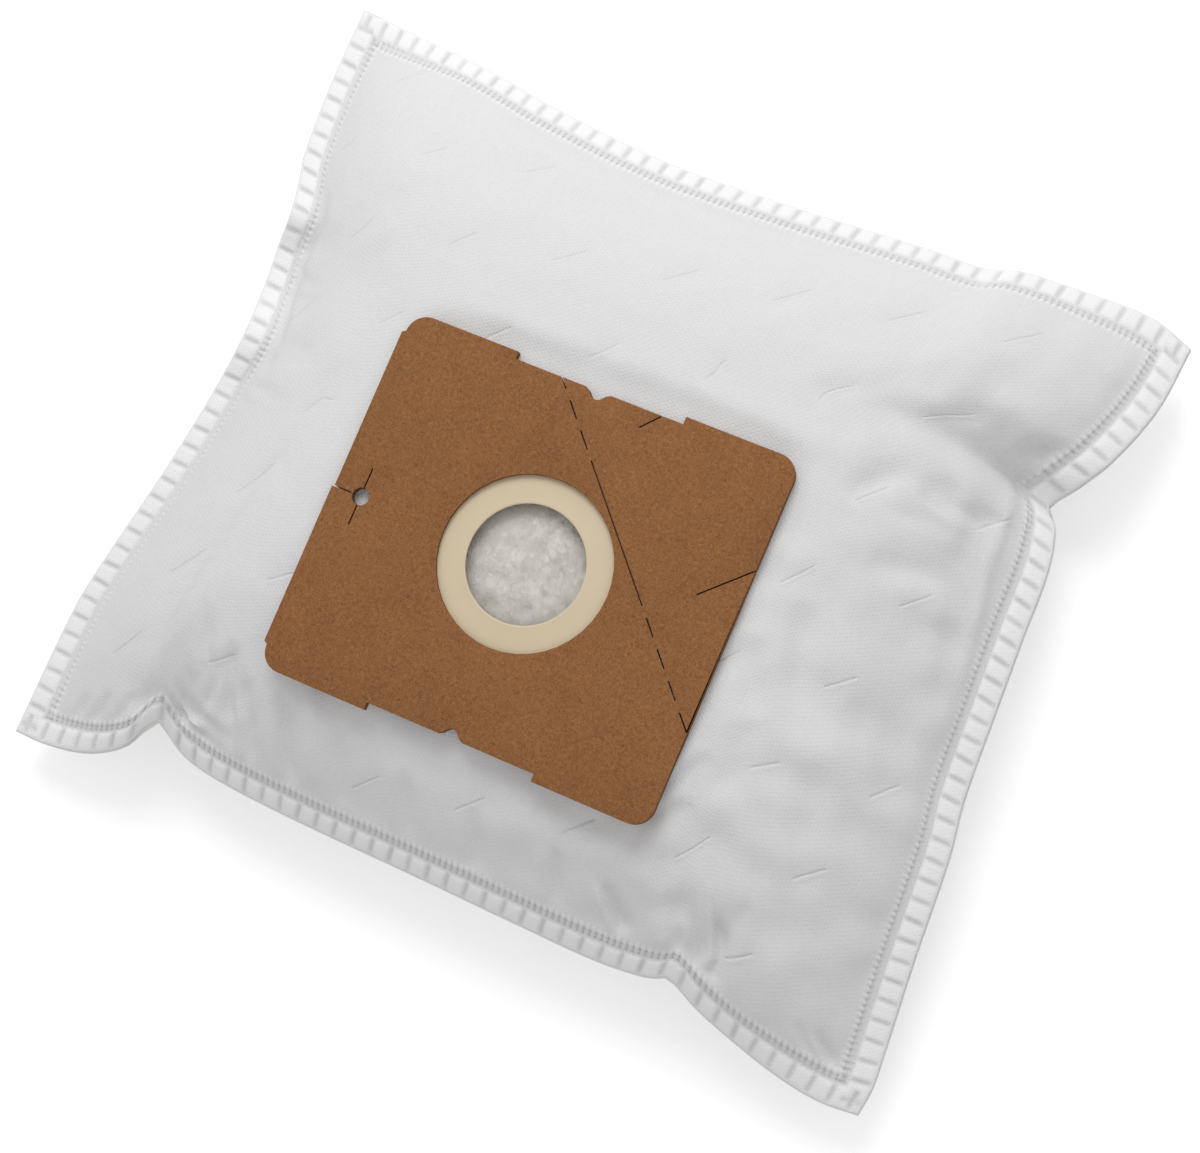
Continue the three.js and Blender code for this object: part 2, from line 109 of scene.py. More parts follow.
@dataclass(frozen=True)
class SeamSide:
    """One side of the welded seam, between two corners.

    Each row gives how far along from the left or front, how far in from the straight line between
    the corners, and how high above the table.
    """

    start: tuple[float, float]
    end: tuple[float, float]
    inward: int
    rows: tuple[tuple[float, float, float], ...]

    def read(self, along: np.ndarray, column: int) -> np.ndarray:
        """Reads one column of the rows smoothly.

        Args:
            along: Places along the side, from 0 to 1.
            column: 1 for the inset, 2 for the height.

        Returns:
            The smooth value at each place.
        """
        table = np.array(self.rows)
        x, y = table[:, 0], table[:, column]
        count = len(x)
        lower = np.maximum(np.arange(count) - 1, 0)
        upper = np.minimum(np.arange(count) + 1, count - 1)
        slopes = (y[upper] - y[lower]) / (x[upper] - x[lower])
        k = np.clip(np.searchsorted(x, along), 1, count - 1)
        span = x[k] - x[k - 1]
        t = (along - x[k - 1]) / span
        bend = t * (1 - t) * span
        eased = t * t * (3 - 2 * t)
        return y[k - 1] + (y[k] - y[k - 1]) * eased + bend * ((1 - t) * slopes[k - 1] - t * slopes[k])

    def points(self, along: np.ndarray) -> np.ndarray:
        """Points of the seam's outer edge.

        Args:
            along: Places along the side, from 0 to 1.

        Returns:
            One row of X, Y and Z for each place.
        """
        start, end = np.array(self.start), np.array(self.end)
        chord = end - start
        normal = np.array([-chord[1], chord[0]]) / np.hypot(*chord) * self.inward
        flat = start + along[..., None] * chord + self.read(along, 1)[..., None] * normal
        return np.concatenate([flat, self.read(along, 2)[..., None]], axis=-1)


@dataclass(frozen=True)
class Fold:
    """A soft valley in a panel, seen from above."""

    start: tuple[float, float]
    end: tuple[float, float]
    depth: float
    spread: float
    fading: float = 0.6

    def depth_at(self, x: np.ndarray, y: np.ndarray) -> np.ndarray:
        """How deep this valley is at each place.

        Args:
            x: Places along X, before the offset.
            y: Places along Y.

        Returns:
            The depth at each place, in millimetres.
        """
        run = np.subtract(self.end, self.start)
        dx, dy = x - self.start[0], y - self.start[1]
        along = np.clip((dx * run[0] + dy * run[1]) / (run @ run), 0, 1)
        away = np.hypot(dx - run[0] * along, dy - run[1] * along) / self.spread
        return self.depth * np.exp(-away * away) * (1 - self.fading * along)


# Where the plate's middle and the four corners of the seam lie, from the origin of the seam rows.
PLATE_FROM_ORIGIN = (-5.8, -17.4)
BACK_LEFT, BACK_RIGHT = (-131.0, 122.5), (136.5, 111.3)
FRONT_RIGHT, FRONT_LEFT = (132.0, -120.4), (-140.5, -118.8)

# The four sides of the seam.
FRONT_SIDE = SeamSide(FRONT_LEFT, FRONT_RIGHT, 1, (
    (0, 0, 14), (0.035, 0.1, 15), (0.085, 2.6, 18), (0.12, 6.8, 22), (0.143, 11.6, 26),
    (0.155, 18, 28), (0.166, 20.9, 27), (0.176, 17.9, 23), (0.2, 14.2, 20), (0.25, 12.1, 21),
    (0.34, 11, 22), (0.49, 10.6, 23), (0.6, 10.1, 23), (0.7, 9.9, 22), (0.757, 11.8, 24),
    (0.775, 13.8, 26), (0.81, 9.3, 22), (0.87, 3.9, 18), (0.92, 0.5, 16), (0.96, -0.9, 14), (1, 0, 13)))
BACK_SIDE = SeamSide(BACK_LEFT, BACK_RIGHT, -1, (
    (0, 0, 16), (0.09, 2.1, 19), (0.19, 4.6, 22), (0.26, 7.4, 24), (0.41, 9.9, 25), (0.56, 7.7, 25),
    (0.7, 3.8, 23), (0.775, 2, 21), (0.8, -0.5, 22), (0.87, -2.7, 20), (0.95, -3.8, 18), (1, 0, 17)))
LEFT_SIDE = SeamSide(FRONT_LEFT, BACK_LEFT, -1, (
    (0, 0, 14), (0.17, 0.9, 17), (0.24, 3.6, 19), (0.38, 10, 22), (0.495, 13.7, 24), (0.56, 16.3, 29),
    (0.63, 12.4, 22), (0.68, 10.5, 21), (0.72, 11.9, 27), (0.755, 9.5, 25), (0.8, 5.5, 22),
    (0.9, 1.5, 18), (1, 0, 16)))
RIGHT_SIDE = SeamSide(FRONT_RIGHT, BACK_RIGHT, 1, (
    (0, 0, 13), (0.035, -0.9, 14), (0.08, -0.1, 15), (0.19, 2.3, 18), (0.325, 4.7, 21), (0.39, 7.1, 22),
    (0.49, 8.6, 23), (0.595, 10.1, 23), (0.68, 11.2, 22), (0.732, 14.2, 20), (0.757, 18.4, 17),
    (0.79, 12.4, 24), (0.83, 6.9, 26), (0.91, 1.5, 22), (1, 0, 17)))

# Valleys that run into both panels from a pinch of the seam, and those of the front panel alone.
PINCH_FOLDS = (
    Fold((-124, 47), (-100, 52), 4, 5), Fold((-119, 8), (-96, 18), 5, 6),
    Fold((-96, -96), (-70, -82), 7, 6), Fold((72, -104), (84, -80), 5, 5),
    Fold((117, 55), (92, 66), 9, 6))
FRONT_FOLDS = (
    Fold((109, 56), (110, 12), 2.5, 4), Fold((104, 6), (109, -34), 1.6, 5),
    Fold((51, -72), (47, -98), 1.5, 4), Fold((-76, -98), (-52, -92), 2, 5))


@dataclass
class BagForm:
    """The puffed form of the bag, before its cloth is simulated.

    Places in the seam rows and folds are measured from an origin beside the plate's middle, and
    offset moves them to the frame.
    """

    cut: Cut
    offset: np.ndarray
    crown_height: float
    stack_half: float = 1.0
    front_tilt: float = math.radians(40)
    back_tilt: float = math.radians(36)
    left_tilt: float = math.radians(6)
    right_tilt: float = math.radians(12)
    tilt_ends: float = 0.17
    tilt_fade: float = 22.0
    swell_roundness: float = 3.4
    swell_steepness: float = 0.75
    crown_flatness: float = 1.06
    belly_flatness: float = 1.3
    belly_steepness: float = 0.8
    tuck_steepness: float = 6.0
    pinch_below: float = 0.6

    def middle(self, u: np.ndarray, v: np.ndarray) -> np.ndarray:
        """The surface midway between the panels, spanned by the four sides.

        Args:
            u: Places along the length, from 0 to 1.
            v: Places along the width, from 0 to 1.

        Returns:
            One row of X, Y and Z for each place, before the offset.
        """
        uu, vv = u[..., None], v[..., None]
        across = FRONT_SIDE.points(u) * (1 - vv) + BACK_SIDE.points(u) * vv
        across += LEFT_SIDE.points(v) * (1 - uu) + RIGHT_SIDE.points(v) * uu
        zero, one = np.zeros_like(u), np.ones_like(u)
        near = FRONT_SIDE.points(zero) * (1 - uu) + FRONT_SIDE.points(one) * uu
        far = BACK_SIDE.points(zero) * (1 - uu) + BACK_SIDE.points(one) * uu
        return across - near * (1 - vv) - far * vv

    def swell(self, u: np.ndarray, v: np.ndarray) -> np.ndarray:
        """How far a panel has swollen: 0 at the weld, 1 over the flat crown.

        Args:
            u: Places along the length, from 0 to 1.
            v: Places along the width, from 0 to 1.

        Returns:
            The share of the full height.
        """
        shares = []
        for share, size in ((u, self.cut.length), (v, self.cut.width)):
            border = self.cut.border / size
            inside = np.clip((share - border) / (1 - 2 * border), 0, 1)
            shares.append(1 - np.abs(2 * inside - 1) ** self.swell_roundness)
        return (shares[0] * shares[1]) ** self.swell_steepness

    def tilts(self, a: np.ndarray, b: np.ndarray) -> tuple[np.ndarray, ...]:
        """How far the border droops along the front, back, left and right sides.

        Args:
            a: Flat places along the length.
            b: Flat places along the width.

        Returns:
            The angle below level next to each side, which fades towards the corners.
        """
        windows = []
        for share in (a / self.cut.length, b / self.cut.width):
            from_corner = np.minimum(share, 1 - share)
            windows.append(smoothstep(0, self.tilt_ends, from_corner))
        return (self.front_tilt * windows[0], self.back_tilt * windows[0],
                self.left_tilt * windows[1], self.right_tilt * windows[1])

    def border_rise(self, a: np.ndarray, b: np.ndarray) -> np.ndarray:
        """How far the droop of the border lifts each place above the seam's outer edge.

        Args:
            a: Flat places along the length.
            b: Flat places along the width.

        Returns:
            The lift at each place.
        """
        distances = (b, self.cut.width - b, a, self.cut.length - a)
        rise = np.zeros_like(a)
        for tilt, away in zip(self.tilts(a, b), distances):
            fade = np.exp(-np.maximum(away - self.cut.border, 0) / self.tilt_fade)
            rise += np.sin(tilt) * np.minimum(away, self.cut.border) * fade
        return rise

    def _share(self, place: np.ndarray, size: float, near: np.ndarray, far: np.ndarray) -> np.ndarray:
        """The share of a span that a flat place falls on.

        Args:
            place: Flat places along the span.
            size: The flat size of the span.
            near: The share that the border takes at its start.
            far: The share that the border takes at its end.

        Returns:
            The share of each place, from 0 to 1.
        """
        border = self.cut.border
        inner = near + (place - border) * (1 - near - far) / (size - 2 * border)
        first, last = near * place / border, 1 - far * (size - place) / border
        return np.where(place < border, first, np.where(place > size - border, last, inner))

    def shares(self, a: np.ndarray, b: np.ndarray) -> tuple[np.ndarray, np.ndarray]:
        """Where flat places fall between the four seams, from 0 to 1 each way.

        Args:
            a: Flat places along the length.
            b: Flat places along the width.

        Returns:
            The shares along the length and along the width.
        """
        u, v = a / self.cut.length, b / self.cut.width
        across = np.linalg.norm(RIGHT_SIDE.points(v) - LEFT_SIDE.points(v), axis=-1)
        upward = np.linalg.norm(BACK_SIDE.points(u) - FRONT_SIDE.points(u), axis=-1)
        front, back, left, right = (np.cos(tilt) * self.cut.border for tilt in self.tilts(a, b))
        return (self._share(a, self.cut.length, left / across, right / across),
                self._share(b, self.cut.width, front / upward, back / upward))

    def panel(self, which: Panel, a: np.ndarray, b: np.ndarray) -> np.ndarray:
        """The outer face of a panel.

        Args:
            which: The front or the back panel.
            a: Flat places along the length.
            b: Flat places along the width.

        Returns:
            One row of X, Y and Z in the frame for each place.
        """
        place = self.middle(*self.shares(a, b))
        place[..., 2] += self.border_rise(a, b)
        swollen = self.swell(a / self.cut.length, b / self.cut.width)
        tuck = 1 - np.exp(-self.tuck_steepness * swollen)
        x, y = place[..., 0], place[..., 1]
        pinch = sum(fold.depth_at(x, y) for fold in PINCH_FOLDS) * tuck
        if which is Panel.FRONT:
            seam = place[..., 2] + self.stack_half
            crown = np.minimum(1, swollen * self.crown_flatness)
            folds = sum(fold.depth_at(x, y) for fold in FRONT_FOLDS) * tuck
            height = seam + (self.crown_height - seam) * crown - pinch - folds
        else:
            seam = place[..., 2] - self.stack_half
            belly = np.minimum(1, swollen ** self.belly_steepness * self.belly_flatness)
            height = (seam + pinch * self.pinch_below) * (1 - belly)
        place[..., 2] = height
        return place + self.offset


@dataclass
class PanelSurface:
    """The outer face of a panel as a smooth surface through a grid of points."""

    which: Panel
    cut: Cut
    points: np.ndarray
    search_steps: int = 30
    search_share: float = 0.8

    @staticmethod
    def _weights(t: np.ndarray) -> tuple[np.ndarray, np.ndarray]:
        """The four weights of a smooth curve through points, and of its slope.

        Args:
            t: How far each place lies between two points, from 0 to 1.

        Returns:
            The weights of the value, and those of the slope.
        """
        ones = np.ones_like(t)
        value = np.stack([
            -0.5 * t**3 + t**2 - 0.5 * t,
            1.5 * t**3 - 2.5 * t**2 + ones,
            -1.5 * t**3 + 2 * t**2 + 0.5 * t,
            0.5 * t**3 - 0.5 * t**2], axis=-1)
        slope = np.stack([
            -1.5 * t**2 + 2 * t - 0.5 * ones,
            4.5 * t**2 - 5 * t,
            -4.5 * t**2 + 4 * t + 0.5 * ones,
            1.5 * t**2 - t], axis=-1)
        return value, slope

    def at(self, a: np.ndarray, b: np.ndarray) -> tuple[np.ndarray, np.ndarray]:
        """Reads the surface.

        Args:
            a: Flat places along the length.
            b: Flat places along the width.

        Returns:
            The points, and the unit normals that point out of the bag.
        """
        rows, columns = self.points.shape[:2]
        grid = np.pad(self.points, ((1, 1), (1, 1), (0, 0)), mode="reflect", reflect_type="odd")
        x = np.clip(a / self.cut.length * (columns - 1), 0, columns - 1)
        y = np.clip(b / self.cut.width * (rows - 1), 0, rows - 1)
        i = np.minimum(x.astype(int), columns - 2)
        j = np.minimum(y.astype(int), rows - 2)
        wx, sx = self._weights(x - i)
        wy, sy = self._weights(y - j)
        near = grid[(j[:, None] + np.arange(4))[:, :, None], (i[:, None] + np.arange(4))[:, None, :]]
        place = np.einsum("nj,ni,njik->nk", wy, wx, near)
        along = np.einsum("nj,ni,njik->nk", wy, sx, near)
        across = np.einsum("nj,ni,njik->nk", sy, wx, near)
        normal = np.cross(along, across) * self.which.value
        return place, normal / np.linalg.norm(normal, axis=1, keepdims=True)

    def find(self, x: np.ndarray, y: np.ndarray) -> tuple[np.ndarray, np.ndarray]:
        """The flat places that lie at given places seen from above, near the crown.

        Args:
            x: Places along X.
            y: Places along Y.

        Returns:
            The flat places along the length and along the width.
        """
        a = np.full_like(x, self.cut.length / 2)
        b = np.full_like(y, self.cut.width / 2)
        for _ in range(self.search_steps):
            place, _ = self.at(a, b)
            a = a + self.search_share * (x - place[:, 0])
            b = b + self.search_share * (y - place[:, 1])
        return a, b


@dataclass
class PuffedCloth:
    """Inflates the two panels as cloth, from their puffed form and their flat cut."""

    form: BagForm
    inlet: np.ndarray
    plate_reach: np.ndarray
    cell: float = 2.5
    scale: float = 0.01
    pinned_border: float = 9.1
    glued_radius: float = 31.0
    rest_height: float = 0.4
    frames: int = 24
    pressure: float = 4.0
    stretch_stiffness: float = 25.0
    bending_stiffness: float = 0.15
    quality: int = 6
    point_mass: float = 0.3
    air_damping: float = 2.0
    ease: float = 1.02
    most_movement: float = 9.0
    ceiling_reach: tuple[float, float] = (1.0, 1.5)
    ceiling_rise: float = 9.0
    ceiling_blend: tuple[float, float] = (0.4, 3.0)

    def grid(self) -> tuple[np.ndarray, np.ndarray]:
        """The flat places of the grid that both panels share."""
        cut = self.form.cut
        a = np.linspace(0, cut.length, round(cut.length / self.cell) + 1)
        b = np.linspace(0, cut.width, round(cut.width / self.cell) + 1)
        return np.meshgrid(a, b)

    def pinned(self, which: Panel, a: np.ndarray, b: np.ndarray, start: np.ndarray) -> np.ndarray:
        """Where the cloth is held: at the welded border, by the plate's adhesive and on the table.

        Args:
            which: The front or the back panel.
            a: Flat places along the length.
            b: Flat places along the width.
            start: The points before the simulation.

        Returns:
            True for each point that is held.
        """
        held = self.form.cut.edge_distance(a, b) < self.pinned_border
        if which is Panel.FRONT:
            away = np.hypot(start[..., 0] - self.inlet[0], start[..., 1] - self.inlet[1])
            return held | (away < self.glued_radius)
        return held | (start[..., 2] < self.rest_height)

    def panels(self) -> dict[Panel, PanelSurface]:
        """Builds both panels.

        Returns:
            The finished surface of each panel.
        """
        a, b = self.grid()
        starts = {which: self.form.panel(which, a, b) for which in Panel}
        puffed = dict(starts)
        puffed = self._simulate(a, b, starts)
        cut = self.form.cut
        return {which: PanelSurface(which, cut, self._settle(which, starts[which], puffed[which]))
                for which in Panel}

    def _simulate(self, a: np.ndarray, b: np.ndarray,
                  starts: dict[Panel, np.ndarray]) -> dict[Panel, np.ndarray]:
        """Runs the cloth simulation on both panels and returns where their grids end up.

        Args:
            a: Flat places along the length.
            b: Flat places along the width.
            starts: The points of each panel before it.

        Returns:
            The points of each panel after it.
        """
        rows, columns = a.shape
        ids = np.arange(rows * columns).reshape(rows, columns)
        quads = np.stack([ids[:-1, :-1], ids[:-1, 1:], ids[1:, 1:], ids[1:, :-1]], axis=-1).reshape(-1, 4)
        faces = np.concatenate([quads, quads[:, ::-1] + ids.size])
        points = np.concatenate([starts[which].reshape(-1, 3) for which in Panel])
        flat = np.stack([a, b, np.zeros_like(a)], axis=-1).reshape(-1, 3)
        mesh = bpy.data.meshes.new("puffing_cloth")
        mesh.from_pydata((points * self.scale).tolist(), [], faces.tolist())
        cloth_object = bpy.data.objects.new("puffing_cloth", mesh)
        bpy.context.scene.collection.objects.link(cloth_object)
        cloth_object.shape_key_add(name="puffed")
        cut_key = cloth_object.shape_key_add(name="cut")
        cut_key.data.foreach_set("co", (np.concatenate([flat, flat]) * self.scale * self.ease).ravel())
        held = np.concatenate([self.pinned(which, a, b, starts[which]).ravel() for which in Panel])
        group = cloth_object.vertex_groups.new(name="held")
        group.add(np.flatnonzero(held).tolist(), 1.0, "REPLACE")
        modifier = cloth_object.modifiers.new("cloth", "CLOTH")
        settings = modifier.settings
        settings.quality = self.quality
        settings.mass = self.point_mass
        settings.tension_stiffness = self.stretch_stiffness
        settings.compression_stiffness = self.stretch_stiffness
        settings.shear_stiffness = self.stretch_stiffness / 2
        settings.bending_stiffness = self.bending_stiffness
        settings.air_damping = self.air_damping
        settings.use_pressure = True
        settings.uniform_pressure_force = self.pressure
        settings.vertex_group_mass = group.name
        settings.rest_shape_key = cut_key
        settings.effector_weights.gravity = 0
        modifier.collision_settings.use_collision = False
        modifier.point_cache.frame_start = 1
        modifier.point_cache.frame_end = self.frames
        for frame_number in range(1, self.frames + 1):
            bpy.context.scene.frame_set(frame_number)
        evaluated = cloth_object.evaluated_get(bpy.context.evaluated_depsgraph_get())
        found = np.empty(len(points) * 3)
        evaluated.data.vertices.foreach_get("co", found)
        found = found.reshape(-1, 3) / self.scale
        bpy.data.objects.remove(cloth_object)
        bpy.context.scene.frame_set(1)
        half = rows * columns
        return {Panel.FRONT: found[:half].reshape(rows, columns, 3),
                Panel.BACK: found[half:].reshape(rows, columns, 3)}

    def _settle(self, which: Panel, start: np.ndarray, puffed: np.ndarray) -> np.ndarray:
        """Caps how far the cloth moved, and keeps it below the plate and above the table.

        Args:
            which: The front or the back panel.
            start: The points before the simulation.
            puffed: The points after it.

        Returns:
            The settled points.
        """
        move = puffed - start
        size = np.linalg.norm(move, axis=-1, keepdims=True)
        share = np.tanh(size / self.most_movement) * self.most_movement / np.maximum(size, 1e-9)
        result = start + move * share
        if which is Panel.FRONT:
            away = np.abs(result[..., :2] - self.inlet) / self.plate_reach
            near_plate = 1 - smoothstep(*self.ceiling_reach, away.max(axis=-1))
            ceiling = self.form.crown_height + self.ceiling_rise * (1 - near_plate)
            blend = self.ceiling_blend[0] * near_plate + self.ceiling_blend[1] * (1 - near_plate)
            overlap = np.clip(blend - np.abs(result[..., 2] - ceiling), 0, None)
            result[..., 2] = np.minimum(result[..., 2], ceiling) - overlap**2 / (4 * blend)
        else:
            result[..., 2] = np.maximum(result[..., 2], 0)
        return result


@dataclass(frozen=True)
class WeldBorder:
    """The pressed pattern of the welded border: puffed-up blocks, and a ladder of two rows of dots."""

    cut: Cut
    pitch: float = 6.13
    block_end: float = 6.9
    block_height: float = 0.75
    valley_opens: tuple[float, float] = (0.4, 1.4)
    valley_closes: tuple[float, float] = (5.9, 6.9)
    valley_width: float = 0.8
    valley_shade: float = 0.3
    ladder_opens: tuple[float, float] = (6.85, 7.35)
    ladder_rows: tuple[float, float] = (7.55, 8.75)
    ladder_pitch: float = 1.9
    ladder_depth: float = 0.46
    dot_size: float = 0.5
    dot_shade: float = 1.0
    bead_row: float = 9.8
    bead_height: float = 0.42
    bead_width: float = 0.55
    dome_flatness: int = 5
    # Painted light: how strongly the tops of the border's blocks are coloured lighter, for the light that
    # they catch.
    dome_painted_light: float = 1.4
    depths: tuple[float, float] = (0.75, 1.0)
    leans: tuple[float, float] = (-0.35, 0.35)
    draws: int = 128
    seed: int = 11

    def _band(self, t: np.ndarray, s: np.ndarray, turn: int) -> tuple[np.ndarray, ...]:
        """Reads the pattern along one pair of sides.

        Args:
            t: Distance from the cut edge.
            s: Distance along the edge.
            turn: 0 for the long sides, 1 for the short ones.

        Returns:
            How deep in a valley, in a dot of the ladder and on a bead each place is.
        """
        rng = np.random.default_rng(self.seed + turn)
        index = np.floor(s / self.pitch).astype(int)
        depth = rng.uniform(*self.depths, self.draws)[index % self.draws]
        lean = rng.uniform(*self.leans, self.draws)[index % self.draws]
        middle = (index + 0.5) * self.pitch + lean * (t / self.block_end - 0.5)
        valley = depth * np.exp(-((s - middle) / self.valley_width) ** 2)
        valley *= smoothstep(*self.valley_opens, t)
        valley *= 1 - smoothstep(*self.valley_closes, t)
        turnaround = 2 * np.pi * s / self.ladder_pitch
        dots = sum(np.exp(-((t - row) / self.dot_size) ** 2) for row in self.ladder_rows)
        dots = dots * (0.5 + 0.5 * np.cos(turnaround)) ** 2
        bead = np.exp(-((t - self.bead_row) / self.bead_width) ** 2)
        bead *= 0.5 + 0.5 * np.cos(turnaround + np.pi)
        return valley, dots, bead

    def relief(self, a: np.ndarray, b: np.ndarray) -> tuple[np.ndarray, np.ndarray, np.ndarray]:
        """The pattern's height over the sheet, how welded each place is, and how much painted light
        lightens it.

        Args:
            a: Flat places along the length.
            b: Flat places along the width.

        Returns:
            The height, the weld, and the painted light on the blocks and beads at each place.
        """
        across_width = np.minimum(b, self.cut.width - b)
        across_length = np.minimum(a, self.cut.length - a)
        long_side = self._band(across_width, a, 0)
        short_side = self._band(across_length, b, 1)
        valley, dots, bead = (np.maximum(p, q) for p, q in zip(long_side, short_side))
        edge = np.minimum(across_width, across_length)
        inside = smoothstep(*self.ladder_opens, edge)
        y = np.clip(edge / self.block_end, 0, 1)
        dome = 1 - np.abs(2 * y - 1) ** self.dome_flatness
        height = self.block_height * dome * (1 - valley) - self.ladder_depth * dots * inside
        height += self.bead_height * bead * inside
        weld = np.clip(self.valley_shade * valley + self.dot_shade * dots * inside, 0, 1)
        # Painted light: the blocks' domes and the beads are marked to be coloured lighter, for light from
        # the table and through the thin border.
        painted_block_light = np.clip(self.dome_painted_light * dome, 0, 1) * (1 - valley) + bead * inside
        return height, weld, np.clip(painted_block_light, 0, 1)

    def ladder_places(self) -> tuple[np.ndarray, np.ndarray]:
        """The middles of the ladder's dots, and the flat directions that they run along."""
        places, directions = [], []
        for size, other, swap in ((self.cut.length, self.cut.width, False),
                                  (self.cut.width, self.cut.length, True)):
            s = np.arange(0, size, self.ladder_pitch)
            for row in self.ladder_rows:
                for t in (row, other - row):
                    line = np.stack([s, np.full_like(s, t)], axis=1)
                    places.append(line[:, ::-1] if swap else line)
                    directions.append(np.tile([1.0, 0.0] if swap else [0.0, 1.0], (len(s), 1)))
        return np.concatenate(places), np.concatenate(directions)


@dataclass(frozen=True)
class QuiltWelds:
    """Short slanting welds that hold the layers of a panel together, on a slanted lattice.

    The lattice is even on the flat panel. On the puffed front panel it is given as seen from above.
    """

    cut: Cut
    places: np.ndarray
    length: float = 11.4
    groove_width: float = 0.3
    groove_depth: float = 0.26
    lip_height: float = 0.2
    lip_place: float = -0.72
    lip_width: float = 0.42
    dimple_depth: float = 0.5
    dimple_width: float = 3.4
    weld_shade: float = 0.55
    slant: float = math.radians(45)
    margin: float = 14.0
    weakest: float = 0.3
    share_along: float = 0.35
    reach_share: float = 1.4
    end_blend: tuple[float, float] = (1.0, 0.2)
    dimple_length: float = 0.62
    floor_length: float = 0.95
    floor_extra: float = 3.0
    strip_reach: tuple[float, float] = (1.2, 1.7)
    strip_past_end: float = 0.8
    strip_columns: int = 23
    strip_rows: tuple[float, ...] = (-1.25, -0.7, -0.36, -0.17, 0, 0.17, 0.36, 0.7, 1.25)

    @staticmethod
    def lattice(origin: tuple, along: tuple, across: tuple, reach: int) -> np.ndarray:
        """The places of a slanted lattice.

        Args:
            origin: One of its places.
            along: The step to the next place in a row.
            across: The step to the next row.
            reach: How many steps it goes each way.

        Returns:
            One row of two numbers for each place.
        """
        i, j = np.meshgrid(np.arange(-reach, reach + 1), np.arange(-reach, reach + 1))
        return np.array(origin) + np.stack([i.ravel(), j.ravel()], axis=1) @ np.array([along, across])

    def middles(self) -> np.ndarray:
        """The middles of the welds in flat coordinates."""
        return self.places[self.cut.edge_distance(*self.places.T) > self.margin]

    def _local(self, a: np.ndarray, b: np.ndarray, middle: np.ndarray) -> tuple[np.ndarray, np.ndarray]:
        """Places seen from one weld: along it and across it."""
        c, s = math.cos(self.slant), math.sin(self.slant)
        da, db = a - middle[0], b - middle[1]
        return da * c + db * s, db * c - da * s

    def relief(self, a: np.ndarray, b: np.ndarray) -> tuple[np.ndarray, np.ndarray, np.ndarray]:
        """Reads the welds.

        Args:
            a: Flat places along the length.
            b: Flat places along the width.

        Returns:
            The height of the outer face, below 0, how low the layers under it go, and how strongly
            each place is welded.
        """
        height, floor, weld = np.zeros_like(a), np.zeros_like(a), np.zeros_like(a)
        for middle in self.middles():
            reach = self.reach_share * self.length
            near = (np.abs(a - middle[0]) < reach) & (np.abs(b - middle[1]) < reach)
            x, y = self._local(a[near], b[near], middle)
            last, past = self.length / 2 - self.end_blend[0], self.length / 2 + self.end_blend[1]
            ends = 1 - smoothstep(last, past, np.abs(x))
            groove = np.exp(-(y / self.groove_width) ** 2) * ends
            dimple = np.exp(-(y / self.dimple_width) ** 2 - (x / (self.dimple_length * self.length)) ** 4)
            wide_width = self.dimple_width + self.floor_extra
            wide = np.exp(-(y / wide_width) ** 2 - (x / (self.floor_length * self.length)) ** 4)
            lip = np.exp(-((y - self.lip_place) / self.lip_width) ** 2) * ends
            strength = self.strength(middle)
            height[near] -= strength * (self.groove_depth * groove + self.dimple_depth * dimple)
            height[near] += strength * self.lip_height * lip
            floor[near] -= (self.groove_depth + self.dimple_depth) * wide
            weld[near] = np.maximum(weld[near], self.weld_shade * strength * groove)
        return height, floor, weld

    def strength(self, middle: np.ndarray) -> float:
        """How deep a weld is pressed: least at the back left, most at the front right."""
        towards = self.share_along * middle[0] / self.cut.length
        towards += (1 - self.share_along) * (1 - middle[1] / self.cut.width)
        return self.weakest + (1 - self.weakest) * float(towards)

    def close_to(self, a: np.ndarray, b: np.ndarray) -> np.ndarray:
        """Whether places lie in the strips that have their own rows of points.

        Args:
            a: Flat places along the length.
            b: Flat places along the width.

        Returns:
            True for each place in a strip.
        """
        close = np.zeros(len(a), bool)
        for middle in self.middles():
            x, y = self._local(a, b, middle)
            close |= (np.abs(x) < self.length / 2 + self.strip_reach[0]) & (np.abs(y) < self.strip_reach[1])
        return close

    def strip_points(self) -> np.ndarray:
        """Rows of points along every weld, closest together in its groove."""
        columns = np.linspace(-1, 1, self.strip_columns) * (self.length / 2 + self.strip_past_end)
        x, y = np.meshgrid(columns, self.strip_rows)
        c, s = math.cos(self.slant), math.sin(self.slant)
        local = np.stack([x.ravel() * c - y.ravel() * s, x.ravel() * s + y.ravel() * c], axis=1)
        return (self.middles()[:, None] + local[None]).reshape(-1, 2)


